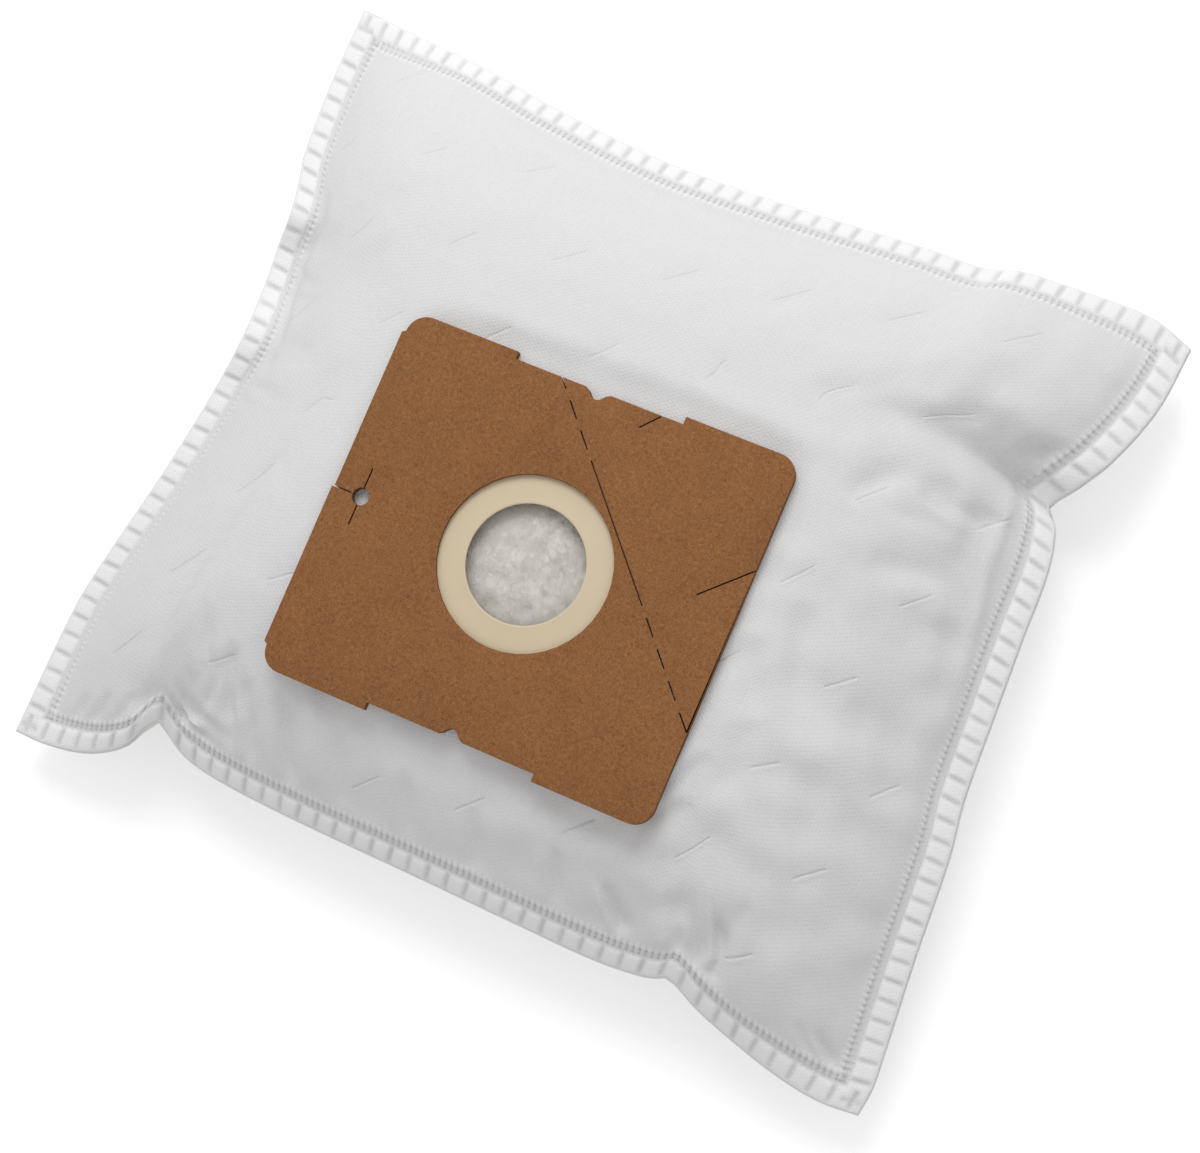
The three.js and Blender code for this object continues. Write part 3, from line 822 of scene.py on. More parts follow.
@dataclass(frozen=True)
class Crease:
    """A crease along a path of flat places: a valley, or a ridge where its depth is below 0.

    The lip is a low ridge on the left of the path, seen along it from outside the bag. The lean is
    how many times wider the valley is on its right than on its left. The strip is what a sharp
    crease needs as its own points: their step along the path, and their rows in crease widths.
    """

    path: tuple[tuple[float, float], ...]
    depth: float
    width: float
    lip: float = 0.0
    lean: float = 1.0
    strip_step: float = 0.7
    strip_offsets: tuple[float, ...] = (-1.5, -0.8, -0.35, 0, 0.35, 0.75, 1.15, 1.55, 1.95, 2.4, 3.0)
    strip_margin: float = 0.4
    lip_place: float = 1.7

    def nearest(self, a: np.ndarray, b: np.ndarray) -> tuple[np.ndarray, np.ndarray, np.ndarray]:
        """How far places are from the path, on which side, and how far along it.

        Args:
            a: Flat places along the length.
            b: Flat places along the width.

        Returns:
            The distances, the sides as -1 or 1, and the shares along the path.
        """
        nearest = np.full_like(a, np.inf)
        side, along = np.zeros_like(a), np.zeros_like(a)
        legs = len(self.path) - 1
        for leg, (start, end) in enumerate(zip(self.path, self.path[1:])):
            run = np.subtract(end, start)
            da, db = a - start[0], b - start[1]
            share = np.clip((da * run[0] + db * run[1]) / (run @ run), 0, 1)
            off_a, off_b = da - run[0] * share, db - run[1] * share
            away = np.hypot(off_a, off_b)
            closer = away < nearest
            nearest = np.where(closer, away, nearest)
            side = np.where(closer, np.sign(run[0] * off_b - run[1] * off_a), side)
            along = np.where(closer, (leg + share) / legs, along)
        return nearest, side, along

    def close_to(self, a: np.ndarray, b: np.ndarray) -> np.ndarray:
        """Whether places lie in the strip that has its own rows of points."""
        nearest, side, _ = self.nearest(a, b)
        reach = np.where(side < 0, -self.strip_offsets[0], self.strip_offsets[-1])
        return nearest < reach * self.width + self.strip_margin

    def strip_points(self) -> np.ndarray:
        """Rows of points along the path, closest together on its steep side."""
        rows = []
        for start, end in zip(self.path, self.path[1:]):
            run = np.subtract(end, start)
            length = np.hypot(*run)
            share = np.linspace(0, 1, math.ceil(length / self.strip_step), endpoint=False)
            across = np.array([-run[1], run[0]]) / length
            middle = np.array(start) + share[:, None] * run
            rows += [middle + offset * self.width * across for offset in self.strip_offsets]
        return np.concatenate(rows)

    def relief(self, a: np.ndarray, b: np.ndarray, spread: float = 0.0) -> np.ndarray:
        """Reads the crease.

        Args:
            a: Flat places along the length.
            b: Flat places along the width.
            spread: How much wider than it is the crease is taken to be.

        Returns:
            Its height over the sheet.
        """
        nearest, side, along = self.nearest(a, b)
        taper = 1 - np.abs(2 * along - 1) ** 3
        reach = (self.width + spread) * np.where(side < 0, self.lean, 1.0)
        valley = np.exp(-(nearest / reach) ** 2)
        if spread:
            return -max(self.depth, 0) * valley * np.sqrt(taper)
        lip = np.exp(-(nearest * side / self.width - self.lip_place) ** 2)
        return taper * (self.lip * lip - self.depth * valley)


@dataclass(frozen=True)
class Rumple:
    """Gentle uneven undulations of the cloth, strongest towards the right and the front."""

    height: float = 0.55
    waves: int = 36
    shortest: float = 11.0
    longest: float = 34.0
    margin: float = 0.25
    least_share: float = 0.12
    middle_share: float = 0.25
    middle: tuple[float, float] = (120.0, 90.0)
    rise_reach: tuple[float, float] = (190.0, 260.0)
    seed: int = 23

    def relief(self, a: np.ndarray, b: np.ndarray) -> np.ndarray:
        """The height of the undulations over the sheet at each place.

        Args:
            a: Flat places along the length.
            b: Flat places along the width.

        Returns:
            The height at each place.
        """
        rng = np.random.default_rng(self.seed)
        total = np.zeros_like(a)
        for _ in range(self.waves):
            length = self.shortest * (self.longest / self.shortest) ** rng.uniform()
            heading, start = rng.uniform(0, np.pi), rng.uniform(0, 2 * np.pi)
            turn = 2 * np.pi * (a * math.cos(heading) + b * math.sin(heading)) / length
            total += np.sin(turn + start) * length / self.longest
        total /= math.sqrt(self.waves) / 2
        rightward = (a - self.middle[0]) / self.rise_reach[0]
        frontward = (self.middle[1] - b) / self.rise_reach[1]
        towards = np.clip(self.middle_share + rightward + frontward, self.least_share, 1)
        return self.height * towards * total


# Creases of both panels beside the seam, two sharp folds of the front panel, and all of its own.
SEAM_CREASES = (
    Crease(((214, 8), (212, 18)), 1.2, 1.8, 0.6), Crease(((266, 9), (257, 18)), 1.5, 1.9, 0.7),
    Crease(((258, 9), (251, 17)), 1.0, 1.8, 0.4), Crease(((45, 11.2), (53, 12), (64, 11)), 1.5, 1.4, 0.6),
    Crease(((48, 16), (57, 17.5), (70, 15)), 0.7, 2.0, 0.4),
    Crease(((55, 13), (60, 26), (61, 40)), 1.5, 2.4, 0.7),
    Crease(((18, 9), (20, 19)), 0.8, 1.7, 0.3), Crease(((25, 9), (28, 20)), 0.9, 1.7, 0.3),
    Crease(((33, 9), (37, 19)), 0.9, 1.8, 0.3),
    Crease(((13, 190), (12, 156), (13, 130)), 1.7, 2.4, 0.3),
    Crease(((40, 235.5), (100, 236), (165, 236.5), (215, 234.5)), 1.1, 3.6),
    Crease(((255, 194), (264, 197), (273, 199)), 3.8, 3.0))
SHARP_FOLDS = (
    Crease(((224, 11.2), (224.6, 17), (223.8, 23), (221.5, 29)), 2.5, 1.3, 0.8, 3.2),
    Crease(((197, 10.8), (194.8, 14), (192, 18.5), (188.5, 25)), 2.9, 1.3, 1.0, 3.2))
FRONT_CREASES = (
    Crease(((262.5, 190), (260, 176), (259.3, 160), (262.5, 140), (266, 118)), -1.15, 1.7),
    Crease(((256, 186), (253.5, 172), (252.5, 158), (256.5, 138), (260.5, 116)), 0.9, 3.6),
    *SHARP_FOLDS, Crease(((212, 19), (194, 36)), -1.0, 4.4),
    Crease(((177, 11), (173, 29)), 1.2, 2.2, 0.6),
    Crease(((222, 15), (205, 27)), 1.2, 4.0),
    Crease(((70, 12), (62, 44)), 1.9, 2.4, 0.9), Crease(((78, 10), (70, 36)), 1.5, 2.2, 0.7),
    Crease(((91, 10), (82, 38)), 2.1, 2.4, 0.9), Crease(((98, 12), (90, 46)), -1.8, 3.2),
    Crease(((108, 11), (101, 38)), 1.3, 2.6, 0.4), Crease(((130, 11), (124, 32)), 1.0, 2.6, 0.3),
    Crease(((152, 11), (147, 30)), 0.9, 2.6, 0.3), Crease(((60, 22), (50, 48)), 1.0, 3.0, 0.3),
    Crease(((226, 143), (240, 147), (253, 152)), 1.7, 4.4), Crease(((212, 158), (230, 174)), 1.2, 3.6),
    Crease(((234, 170), (247, 175)), 1.2, 3.4), Crease(((225, 94), (219, 110), (214, 124)), 1.4, 4.6),
    Crease(((212, 86), (204, 110)), 1.1, 4.4), Crease(((232, 46), (222, 66)), 0.9, 4.6),
    Crease(((196, 58), (205, 72)), 0.9, 2.4, 0.4), Crease(((192, 48), (206, 56)), 0.8, 2.4, 0.4))


@dataclass
class FlatMesh:
    """A panel, or a part of it, cut into triangles while it is flat."""

    places: np.ndarray
    triangles: np.ndarray

    @classmethod
    def over(cls, places: np.ndarray, hole: np.ndarray) -> "FlatMesh":
        """Joins places into triangles.

        Args:
            places: Flat places, with those of the outer edge.
            hole: The loop of places round a hole, or an empty array.

        Returns:
            The flat mesh, with counter-clockwise triangles and nothing inside the hole.
        """
        first = len(places)
        count = len(hole)
        everything = np.concatenate([places, hole.reshape(-1, 2)])
        rim = [(first + k, first + (k + 1) % count) for k in range(count)]
        found = delaunay_2d_cdt([Vector(p) for p in everything], rim, [], 0, 1e-6, True)
        points = np.array([tuple(p) for p in found[0]])
        triangles = np.array(found[2])
        on_rim = np.array([any(k >= first for k in origin) for origin in found[3]])
        if count:
            triangles = triangles[~on_rim[triangles].all(axis=1)]
        p, q, r = points[triangles[:, 0]], points[triangles[:, 1]], points[triangles[:, 2]]
        size = (q[:, 0] - p[:, 0]) * (r[:, 1] - p[:, 1]) - (q[:, 1] - p[:, 1]) * (r[:, 0] - p[:, 0])
        triangles[size < 0] = triangles[size < 0][:, ::-1]
        return cls(points, triangles)

    def rim_edges(self) -> np.ndarray:
        """The directed edges that only one triangle uses."""
        t = self.triangles.astype(np.int64)
        edges = np.concatenate([t[:, [0, 1]], t[:, [1, 2]], t[:, [2, 0]]])
        total = len(self.places)
        forward = edges[:, 0] * total + edges[:, 1]
        backward = edges[:, 1] * total + edges[:, 0]
        return edges[~np.isin(forward, backward)]


def mesh_object(name: str, points: np.ndarray, triangles: np.ndarray) -> Object:
    """Makes a smooth object of triangles.

    Args:
        name: The object's name.
        points: Points in millimetres.
        triangles: Rows of three point numbers.

    Returns:
        The new object, linked to the scene.
    """
    mesh = bpy.data.meshes.new(name)
    mesh.vertices.add(len(points))
    mesh.vertices.foreach_set("co", (points * MM).astype(np.float32).ravel())
    mesh.loops.add(triangles.size)
    mesh.loops.foreach_set("vertex_index", triangles.astype(np.int32).ravel())
    mesh.polygons.add(len(triangles))
    mesh.polygons.foreach_set("loop_start", np.arange(0, triangles.size, 3, dtype=np.int32))
    mesh.polygons.foreach_set("use_smooth", np.ones(len(triangles), bool))
    mesh.update(calc_edges=True)
    mesh.validate()
    made = bpy.data.objects.new(name, mesh)
    bpy.context.scene.collection.objects.link(made)
    return made


@dataclass
class SheetShell:
    """A closed sheet: a fine outer face, a plain inner face, and the cut edges between them."""

    name: str
    surface: PanelSurface
    outer: FlatMesh
    inner: FlatMesh
    sharp_angle: float = math.radians(55)

    def build(self, outer_rise: np.ndarray, inner_rise: np.ndarray,
              masks: dict[str, np.ndarray]) -> Object:
        """Lays the flat meshes on the panel.

        Args:
            outer_rise: How far each outer place lies outside the panel's surface.
            inner_rise: The same for each inner place.
            masks: Values of the outer places that the finish reads, by name.

        Returns:
            The closed sheet, with its cut map and masks.
        """
        outer_points, outer_normals = self.surface.at(*self.outer.places.T)
        inner_points, inner_normals = self.surface.at(*self.inner.places.T)
        outer_points = outer_points + outer_normals * outer_rise[:, None]
        inner_points = inner_points + inner_normals * inner_rise[:, None]
        first = len(outer_points)
        rim = self.outer.rim_edges()
        keys = {tuple(place): k for k, place in enumerate(np.round(self.inner.places, 4).tolist())}
        rim_places = np.round(self.outer.places[rim[:, 0]], 4).tolist()
        match = np.array([keys[tuple(place)] for place in rim_places])
        follow = dict(zip(rim[:, 0].tolist(), (match + first).tolist()))
        below_start = np.array([follow[k] for k in rim[:, 0].tolist()])
        below_end = np.array([follow[k] for k in rim[:, 1].tolist()])
        walls = np.concatenate([
            np.stack([rim[:, 1], rim[:, 0], below_start], axis=1),
            np.stack([rim[:, 1], below_start, below_end], axis=1)])
        triangles = np.concatenate([self.outer.triangles, self.inner.triangles[:, ::-1] + first, walls])
        if self.surface.which is Panel.BACK:
            triangles = triangles[:, ::-1]
        made = mesh_object(self.name, np.concatenate([outer_points, inner_points]), triangles)
        mesh = made.data
        places = np.concatenate([self.outer.places, self.inner.places])
        corners = np.empty(len(mesh.loops), np.int32)
        mesh.loops.foreach_get("vertex_index", corners)
        cut_map = mesh.uv_layers.new(name="cut_map")
        cut_map.data.foreach_set("uv", (places[corners] * MM).astype(np.float32).ravel())
        blank = np.zeros(len(inner_points))
        for key, values in masks.items():
            mask = mesh.attributes.new(key, "FLOAT", "POINT")
            mask.data.foreach_set("value", np.concatenate([values, blank]).astype(np.float32))
        mesh.set_sharp_from_angle(angle=self.sharp_angle)
        return made


# The distance between an outer sheet's points along its border, and inside it.
POINT_SPACING = {Panel.FRONT: (0.475, 1.4), Panel.BACK: (0.75, 2.6)}


@dataclass
class BagCloth:
    """The four sheets of the bag, from the outside in: two outer sheets and two fleeces."""

    cut: Cut
    surfaces: dict[Panel, PanelSurface]
    inlet: np.ndarray
    inlet_hole: float = 46.0
    outer_thickness: float = 0.4
    fleece_welded: float = 0.42
    front_loft: float = 2.2
    back_loft: float = 5.5
    layer_gap: float = 0.06
    inner_cell: float = 3.6
    hole_steps: int = 96
    fluff_rise: float = 44.8
    fluff_radius: float = 33.0
    fluff_flatness: float = 6.0
    crease_spread: float = 2.2
    clear_band: float = 4.0
    clear_table: tuple[float, float] = (0.5, 5.0)
    cells_from_border: float = 0.6
    strip_from_border: float = 0.3
    fleece_cell: float = 3.0
    fleece_inset: float = 11.0
    fleece_lines: tuple[float, ...] = (0.0, 3.0, 6.0, 9.0)
    fleece_hole_gap: float = 1.0
    loft_reach: float = 26.0
    lattice_reach: int = 9
    flat_lattice: tuple = ((221.0, 76.6), (33.6, 8.2), (10.6, 32.7))
    seen_lattice: tuple = ((78.0, -43.3), (31.2, 6.4), (9.9, 28.5))
    border_lines: tuple[float, ...] = (
        0, 0.3, 0.7, 1.2, 2.2, 3.4, 4.6, 5.6, 6.3, 6.9, 7.25, 7.55, 7.85, 8.15, 8.45, 8.75, 9.1, 9.7, 10.4)

    def __post_init__(self) -> None:
        """Places the quilting welds of both panels."""
        flat = QuiltWelds.lattice(self.flat_lattice[0], *self.flat_lattice[1:], self.lattice_reach)
        seen = QuiltWelds.lattice(self.seen_lattice[0], *self.seen_lattice[1:], self.lattice_reach)
        front = self.surfaces[Panel.FRONT].find(*seen.T)
        self.quilts = {Panel.BACK: QuiltWelds(self.cut, flat),
                       Panel.FRONT: QuiltWelds(self.cut, np.stack(front, axis=1))}

    def relief(self, which: Panel, places: np.ndarray) -> tuple[np.ndarray, np.ndarray, np.ndarray]:
        """Reads the quilting, creases and undulations of a panel.

        Args:
            which: The front or the back panel.
            places: Flat places.

        Returns:
            The height of the outer face, how low the layers under it go, and how strongly each
            place is welded.
        """
        a, b = places.T
        height, floor, weld = self.quilts[which].relief(a, b)
        creases = SEAM_CREASES
        if which is Panel.FRONT:
            creases = SEAM_CREASES + FRONT_CREASES
            rumple = Rumple()
            height += rumple.relief(a, b)
            floor += rumple.relief(a, b) - rumple.margin
        height += sum(crease.relief(a, b) for crease in creases)
        floor += sum(crease.relief(a, b, self.crease_spread) for crease in creases)
        clear = smoothstep(0, self.clear_band, self.cut.edge_distance(a, b) - self.cut.border)
        if which is Panel.BACK:
            points, _ = self.surfaces[which].at(a, b)
            clear *= smoothstep(*self.clear_table, points[:, 2])
            return height * clear, floor * clear, weld
        return height * clear, floor * clear, weld * clear

    def hole_loop(self, radius: float) -> np.ndarray:
        """The flat places of a round hole in the front panel over the inlet."""
        turn = np.linspace(0, 2 * np.pi, self.hole_steps, endpoint=False)
        x, y = self.inlet[0] + radius * np.cos(turn), self.inlet[1] + radius * np.sin(turn)
        return np.stack(self.surfaces[Panel.FRONT].find(x, y), axis=1)

    def edge_points(self, spacing: float, lines: tuple[float, ...]) -> np.ndarray:
        """Rows of places along all four edges.

        Args:
            spacing: The distance between places along an edge.
            lines: How far each row lies from the edge.

        Returns:
            The flat places, each once.
        """
        length, width = self.cut.length, self.cut.width
        along = np.linspace(0, length, round(length / spacing) + 1)
        last = lines[-1]
        wide = np.linspace(0, width, round(width / spacing) + 1)
        wide = wide[(wide > last + 0.01) & (wide < width - last - 0.01)]
        t = np.array(lines)
        rows = np.concatenate([t, width - t])
        columns = np.concatenate([t, length - t])
        first = np.stack(np.meshgrid(along, rows), axis=-1).reshape(-1, 2)
        second = np.stack(np.meshgrid(columns, wide), axis=-1).reshape(-1, 2)
        return np.concatenate([first, second])

    def field_points(self, spacing: float, inset: float) -> np.ndarray:
        """A grid of places inside the border."""
        a = np.linspace(inset, self.cut.length - inset, round((self.cut.length - 2 * inset) / spacing) + 1)
        b = np.linspace(inset, self.cut.width - inset, round((self.cut.width - 2 * inset) / spacing) + 1)
        return np.stack(np.meshgrid(a, b), axis=-1).reshape(-1, 2)

    def flat_mesh(self, places: np.ndarray, hole: np.ndarray, clearance: float) -> FlatMesh:
        """Joins places into a flat mesh, leaving out those inside or close to the hole.

        Args:
            places: Flat places, with those of the outer edge.
            hole: The loop of places round a hole, or an empty array.
            clearance: How far places stay from the hole.

        Returns:
            The flat mesh.
        """
        if len(hole):
            middle = hole.mean(axis=0)
            radius = np.hypot(*(hole - middle).T).max()
            places = places[np.hypot(*(places - middle).T) > radius + clearance]
        return FlatMesh.over(places, hole)

    def outer_sheet(self, which: Panel, name: str) -> Object:
        """Builds an outer sheet with its welded border and quilting welds.

        Args:
            which: The front or the back panel.
            name: The piece's name.

        Returns:
            The closed sheet.
        """
        spacing, cell = POINT_SPACING[which]
        border, quilt = WeldBorder(self.cut), self.quilts[which]
        hole = self.hole_loop(self.inlet_hole / 2) if which is Panel.FRONT else np.empty((0, 2))
        middle = self.field_points(cell, self.border_lines[-1] + self.cells_from_border * cell)
        middle = middle[~quilt.close_to(*middle.T)]
        strips = [quilt.strip_points()]
        for fold in SHARP_FOLDS if which is Panel.FRONT else ():
            middle = middle[~fold.close_to(*middle.T)]
            rows = fold.strip_points()
            inside = self.cut.edge_distance(*rows.T) > self.border_lines[-1] + self.strip_from_border
            strips.append(rows[inside])
        edge = self.edge_points(spacing, self.border_lines)
        outer = self.flat_mesh(np.concatenate([edge, middle, *strips]), hole, cell / 2)
        rim = outer.places[outer.rim_edges()[:, 0]]
        rim = rim[self.cut.edge_distance(*rim.T) < self.border_lines[1]]
        inner_field = self.field_points(self.inner_cell, self.inner_cell / 2)
        inner = self.flat_mesh(np.concatenate([rim, inner_field]), hole, self.inner_cell / 2)
        border_height, border_weld, puff_painted_light = border.relief(*outer.places.T)
        folded, _, quilt_weld = self.relief(which, outer.places)
        _, floor, _ = self.relief(which, inner.places)
        shell = SheetShell(name, self.surfaces[which], outer, inner)
        masks = {"weld": np.maximum(border_weld, quilt_weld), "puff_painted_light": puff_painted_light}
        return shell.build(border_height + folded, floor - self.outer_thickness, masks)

    def fleece(self, which: Panel, name: str) -> Object:
        """Builds an inner fleece. The back one is fluffed up under the inlet.

        Args:
            which: The front or the back panel.
            name: The piece's name.

        Returns:
            The closed layer.
        """
        front = which is Panel.FRONT
        hole = self.hole_loop(self.inlet_hole / 2 + self.fleece_hole_gap) if front else np.empty((0, 2))
        edge = self.edge_points(self.fleece_cell, self.fleece_lines)
        middle = self.field_points(self.fleece_cell, self.fleece_inset)
        flat = self.flat_mesh(np.concatenate([edge, middle]), hole, self.fleece_cell / 2)
        distance = self.cut.edge_distance(*flat.places.T)
        inside = smoothstep(self.cut.border, self.cut.border + self.loft_reach, distance)
        loft = (self.front_loft if front else self.back_loft) - self.fleece_welded
        outer_rise = self.relief(which, flat.places)[1] - self.outer_thickness - self.layer_gap
        inner_rise = outer_rise - self.fleece_welded - loft * inside
        if not front:
            points, _ = self.surfaces[which].at(*flat.places.T)
            away = np.hypot(*(points[:, :2] - self.inlet).T) / self.fluff_radius
            inner_rise -= self.fluff_rise * np.exp(-away**self.fluff_flatness) * inside
        shell = SheetShell(name, self.surfaces[which], flat, flat)
        return shell.build(outer_rise, inner_rise, {})


def declare(piece: Object, node: str | None = None) -> None:
    """Attaches a piece to the body that it rides on, hides the node that it stands for, and logs it.

    Args:
        piece: The finished piece.
        node: The node that it replaces, or None for a piece that is in the scene alone.
    """
    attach(piece, BODY)
    if node is not None:
        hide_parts(node)
    LOG.info("%s: %d points, %d faces", piece.name, len(piece.data.vertices), len(piece.data.polygons))


def declare_sheet(piece: Object, node: str) -> None:
    """Declares a sheet like any other piece."""
    declare(piece, node)


def tree_node(tree: NodeTree, kind: str, inputs: dict | None = None, **options) -> Node:
    """Adds a node to a tree.

    Args:
        tree: The node tree.
        kind: The node's type.
        inputs: Values or sockets for its inputs, by name or number.
        options: Properties of the node.

    Returns:
        The new node.
    """
    made = tree.nodes.new(kind)
    for name, value in options.items():
        setattr(made, name, value)
    for key, value in (inputs or {}).items():
        if isinstance(value, NodeSocket):
            tree.links.new(value, made.inputs[key])
        else:
            made.inputs[key].default_value = value
    return made


def shader_group(name: str, inputs: dict, outputs: dict) -> NodeTree:
    """Makes an empty shader group with named sockets, given by socket type and default value.

    Args:
        name: The group's name.
        inputs: The type and default value of each input.
        outputs: The type of each output.

    Returns:
        The group, with its sockets and no nodes.
    """
    tree = bpy.data.node_groups.new(name, "ShaderNodeTree")
    for socket, (kind, value) in inputs.items():
        made = tree.interface.new_socket(name=socket, in_out="INPUT", socket_type=kind)
        if value is not None:
            made.default_value = value
    for socket, kind in outputs.items():
        tree.interface.new_socket(name=socket, in_out="OUTPUT", socket_type=kind)
    return tree


def fibre_mottle_group() -> NodeTree:
    """Matted fibres: fine stretched noise in two directions, even grain and soft cloudy patches."""
    tree = shader_group(
        "fibre_mottle",
        {"Place": ("NodeSocketVector", None), "Fibre Scale": ("NodeSocketFloat", 900.0),
         "Cloud Scale": ("NodeSocketFloat", 60.0)},
        {"Fibres": "NodeSocketFloat", "Grain": "NodeSocketFloat", "Clouds": "NodeSocketFloat"})
    enter = tree_node(tree, "NodeGroupInput")
    leave = tree_node(tree, "NodeGroupOutput")
    strands = []
    for turn, stretch in ((0.5, (1.0, 0.16, 0.5)), (-0.9, (0.2, 1.0, 0.5))):
        spot = tree_node(tree, "ShaderNodeMapping", {
            "Vector": enter.outputs["Place"], "Rotation": (0, 0, turn), "Scale": stretch})
        noise = tree_node(tree, "ShaderNodeTexNoise", {
            "Vector": spot.outputs["Vector"], "Scale": enter.outputs["Fibre Scale"],
            "Detail": 3.0, "Roughness": 0.6, "Distortion": 0.6})
        strands.append(noise.outputs["Fac"])
    both = tree_node(tree, "ShaderNodeMath", {0: strands[0], 1: strands[1]}, operation="ADD")
    half = tree_node(tree, "ShaderNodeMath", {0: both.outputs[0], 1: 0.5}, operation="MULTIPLY")
    grain = tree_node(tree, "ShaderNodeTexNoise", {
        "Vector": enter.outputs["Place"], "Scale": enter.outputs["Fibre Scale"],
        "Detail": 3.0, "Roughness": 0.7, "Distortion": 1.5})
    clouds = tree_node(tree, "ShaderNodeTexNoise", {
        "Vector": enter.outputs["Place"], "Scale": enter.outputs["Cloud Scale"], "Detail": 4.0})
    tree.links.new(grain.outputs["Fac"], leave.inputs["Grain"])
    tree.links.new(half.outputs[0], leave.inputs["Fibres"])
    tree.links.new(clouds.outputs["Fac"], leave.inputs["Clouds"])
    return tree


def bond_points_group() -> NodeTree:
    """The small oval points, in staggered rows, that bond a spunbond sheet."""
    tree = shader_group(
        "bond_points",
        {"Place": ("NodeSocketVector", None), "Across": ("NodeSocketFloat", 1.3 * MM),
         "Along": ("NodeSocketFloat", 2.0 * MM)},
        {"Points": "NodeSocketFloat"})
    enter = tree_node(tree, "NodeGroupInput")
    leave = tree_node(tree, "NodeGroupOutput")
    split = tree_node(tree, "ShaderNodeSeparateXYZ", {"Vector": enter.outputs["Place"]})
    waves = []
    for axis, pitch in (("X", "Along"), ("Y", "Across")):
        share = tree_node(tree, "ShaderNodeMath", {
            0: split.outputs[axis], 1: enter.outputs[pitch]}, operation="DIVIDE")
        turn = tree_node(tree, "ShaderNodeMath", {
            0: share.outputs[0], 1: 2 * math.pi}, operation="MULTIPLY")
        waves.append(tree_node(tree, "ShaderNodeMath", {0: turn.outputs[0]}, operation="COSINE").outputs[0])
    product = tree_node(tree, "ShaderNodeMath", {0: waves[0], 1: waves[1]}, operation="MULTIPLY")
    points = tree_node(tree, "ShaderNodeMapRange", {
        "Value": product.outputs[0], "From Min": 0.25, "From Max": 0.8}, interpolation_type="SMOOTHSTEP")
    tree.links.new(points.outputs["Result"], leave.inputs["Points"])
    return tree


@dataclass
class Finishes:
    """The materials of the bag, and the shader groups that they share."""

    groups: dict[str, NodeTree] = field(default_factory=dict)

    def __post_init__(self) -> None:
        """Builds the shared groups."""
        self.groups["mottle"] = fibre_mottle_group()
        self.groups["bonds"] = bond_points_group()

    def group(self, tree: NodeTree, name: str, inputs: dict) -> Node:
        """Places a shared group in a material."""
        return tree_node(tree, "ShaderNodeGroup", inputs, node_tree=self.groups[name])

    def mottle(self, tree: NodeTree, place: NodeSocket, fibre_scale: float, cloud_scale: float) -> Node:
        """Places the matted fibres in a material, at their own scales."""
        return self.group(tree, "mottle", {
            "Place": place, "Fibre Scale": fibre_scale, "Cloud Scale": cloud_scale})

    def start(self, name: str) -> tuple[Material, NodeTree, Node]:
        """A new material with a bare Principled shader.

        Args:
            name: The material's name.

        Returns:
            The material, its tree and its shader.
        """
        material = bpy.data.materials.new(name)
        material.use_nodes = True
        tree = material.node_tree
        tree.nodes.clear()
        shader = tree_node(tree, "ShaderNodeBsdfPrincipled")
        leave = tree_node(tree, "ShaderNodeOutputMaterial")
        tree.links.new(shader.outputs["BSDF"], leave.inputs["Surface"])
        return material, tree, shader

    @staticmethod
    def mix(tree: NodeTree, mask: NodeSocket, low: tuple, high: tuple) -> NodeSocket:
        """Mixes two colours, or a colour socket and a colour, by a mask.

        Args:
            tree: The node tree.
            mask: 0 for the low colour, 1 for the high one.
            low: A colour, or a socket.
            high: A colour, or a socket.

        Returns:
            The socket of the mixed colour.
        """
        made = tree_node(tree, "ShaderNodeMix", data_type="RGBA")
        tree.links.new(mask, made.inputs["Factor"])
        for key, value in ((6, low), (7, high)):
            if isinstance(value, NodeSocket):
                tree.links.new(value, made.inputs[key])
            else:
                made.inputs[key].default_value = (*value, 1.0)
        return made.outputs[2]

    @staticmethod
    def surface(tree: NodeTree, shader: Node, colour: NodeSocket, values: dict) -> None:
        """Gives the shader its colour and its plain values."""
        tree.links.new(colour, shader.inputs["Base Color"])
        for key, value in values.items():
            shader.inputs[key].default_value = value

    @staticmethod
    def bump(tree: NodeTree, shader: Node, layers: list[tuple[NodeSocket, float]]) -> None:
        """Stacks bumps, each a height socket with its distance in metres, onto the shader.

        Args:
            tree: The node tree.
            shader: The material's Principled shader.
            layers: The heights and distances, lowest first.
        """
        normal = None
        for height, distance in layers:
            made = tree_node(tree, "ShaderNodeBump", {
                "Height": height, "Distance": distance, "Strength": 1.0})
            if normal is not None:
                tree.links.new(normal, made.inputs["Normal"])
            normal = made.outputs["Normal"]
        tree.links.new(normal, shader.inputs["Normal"])


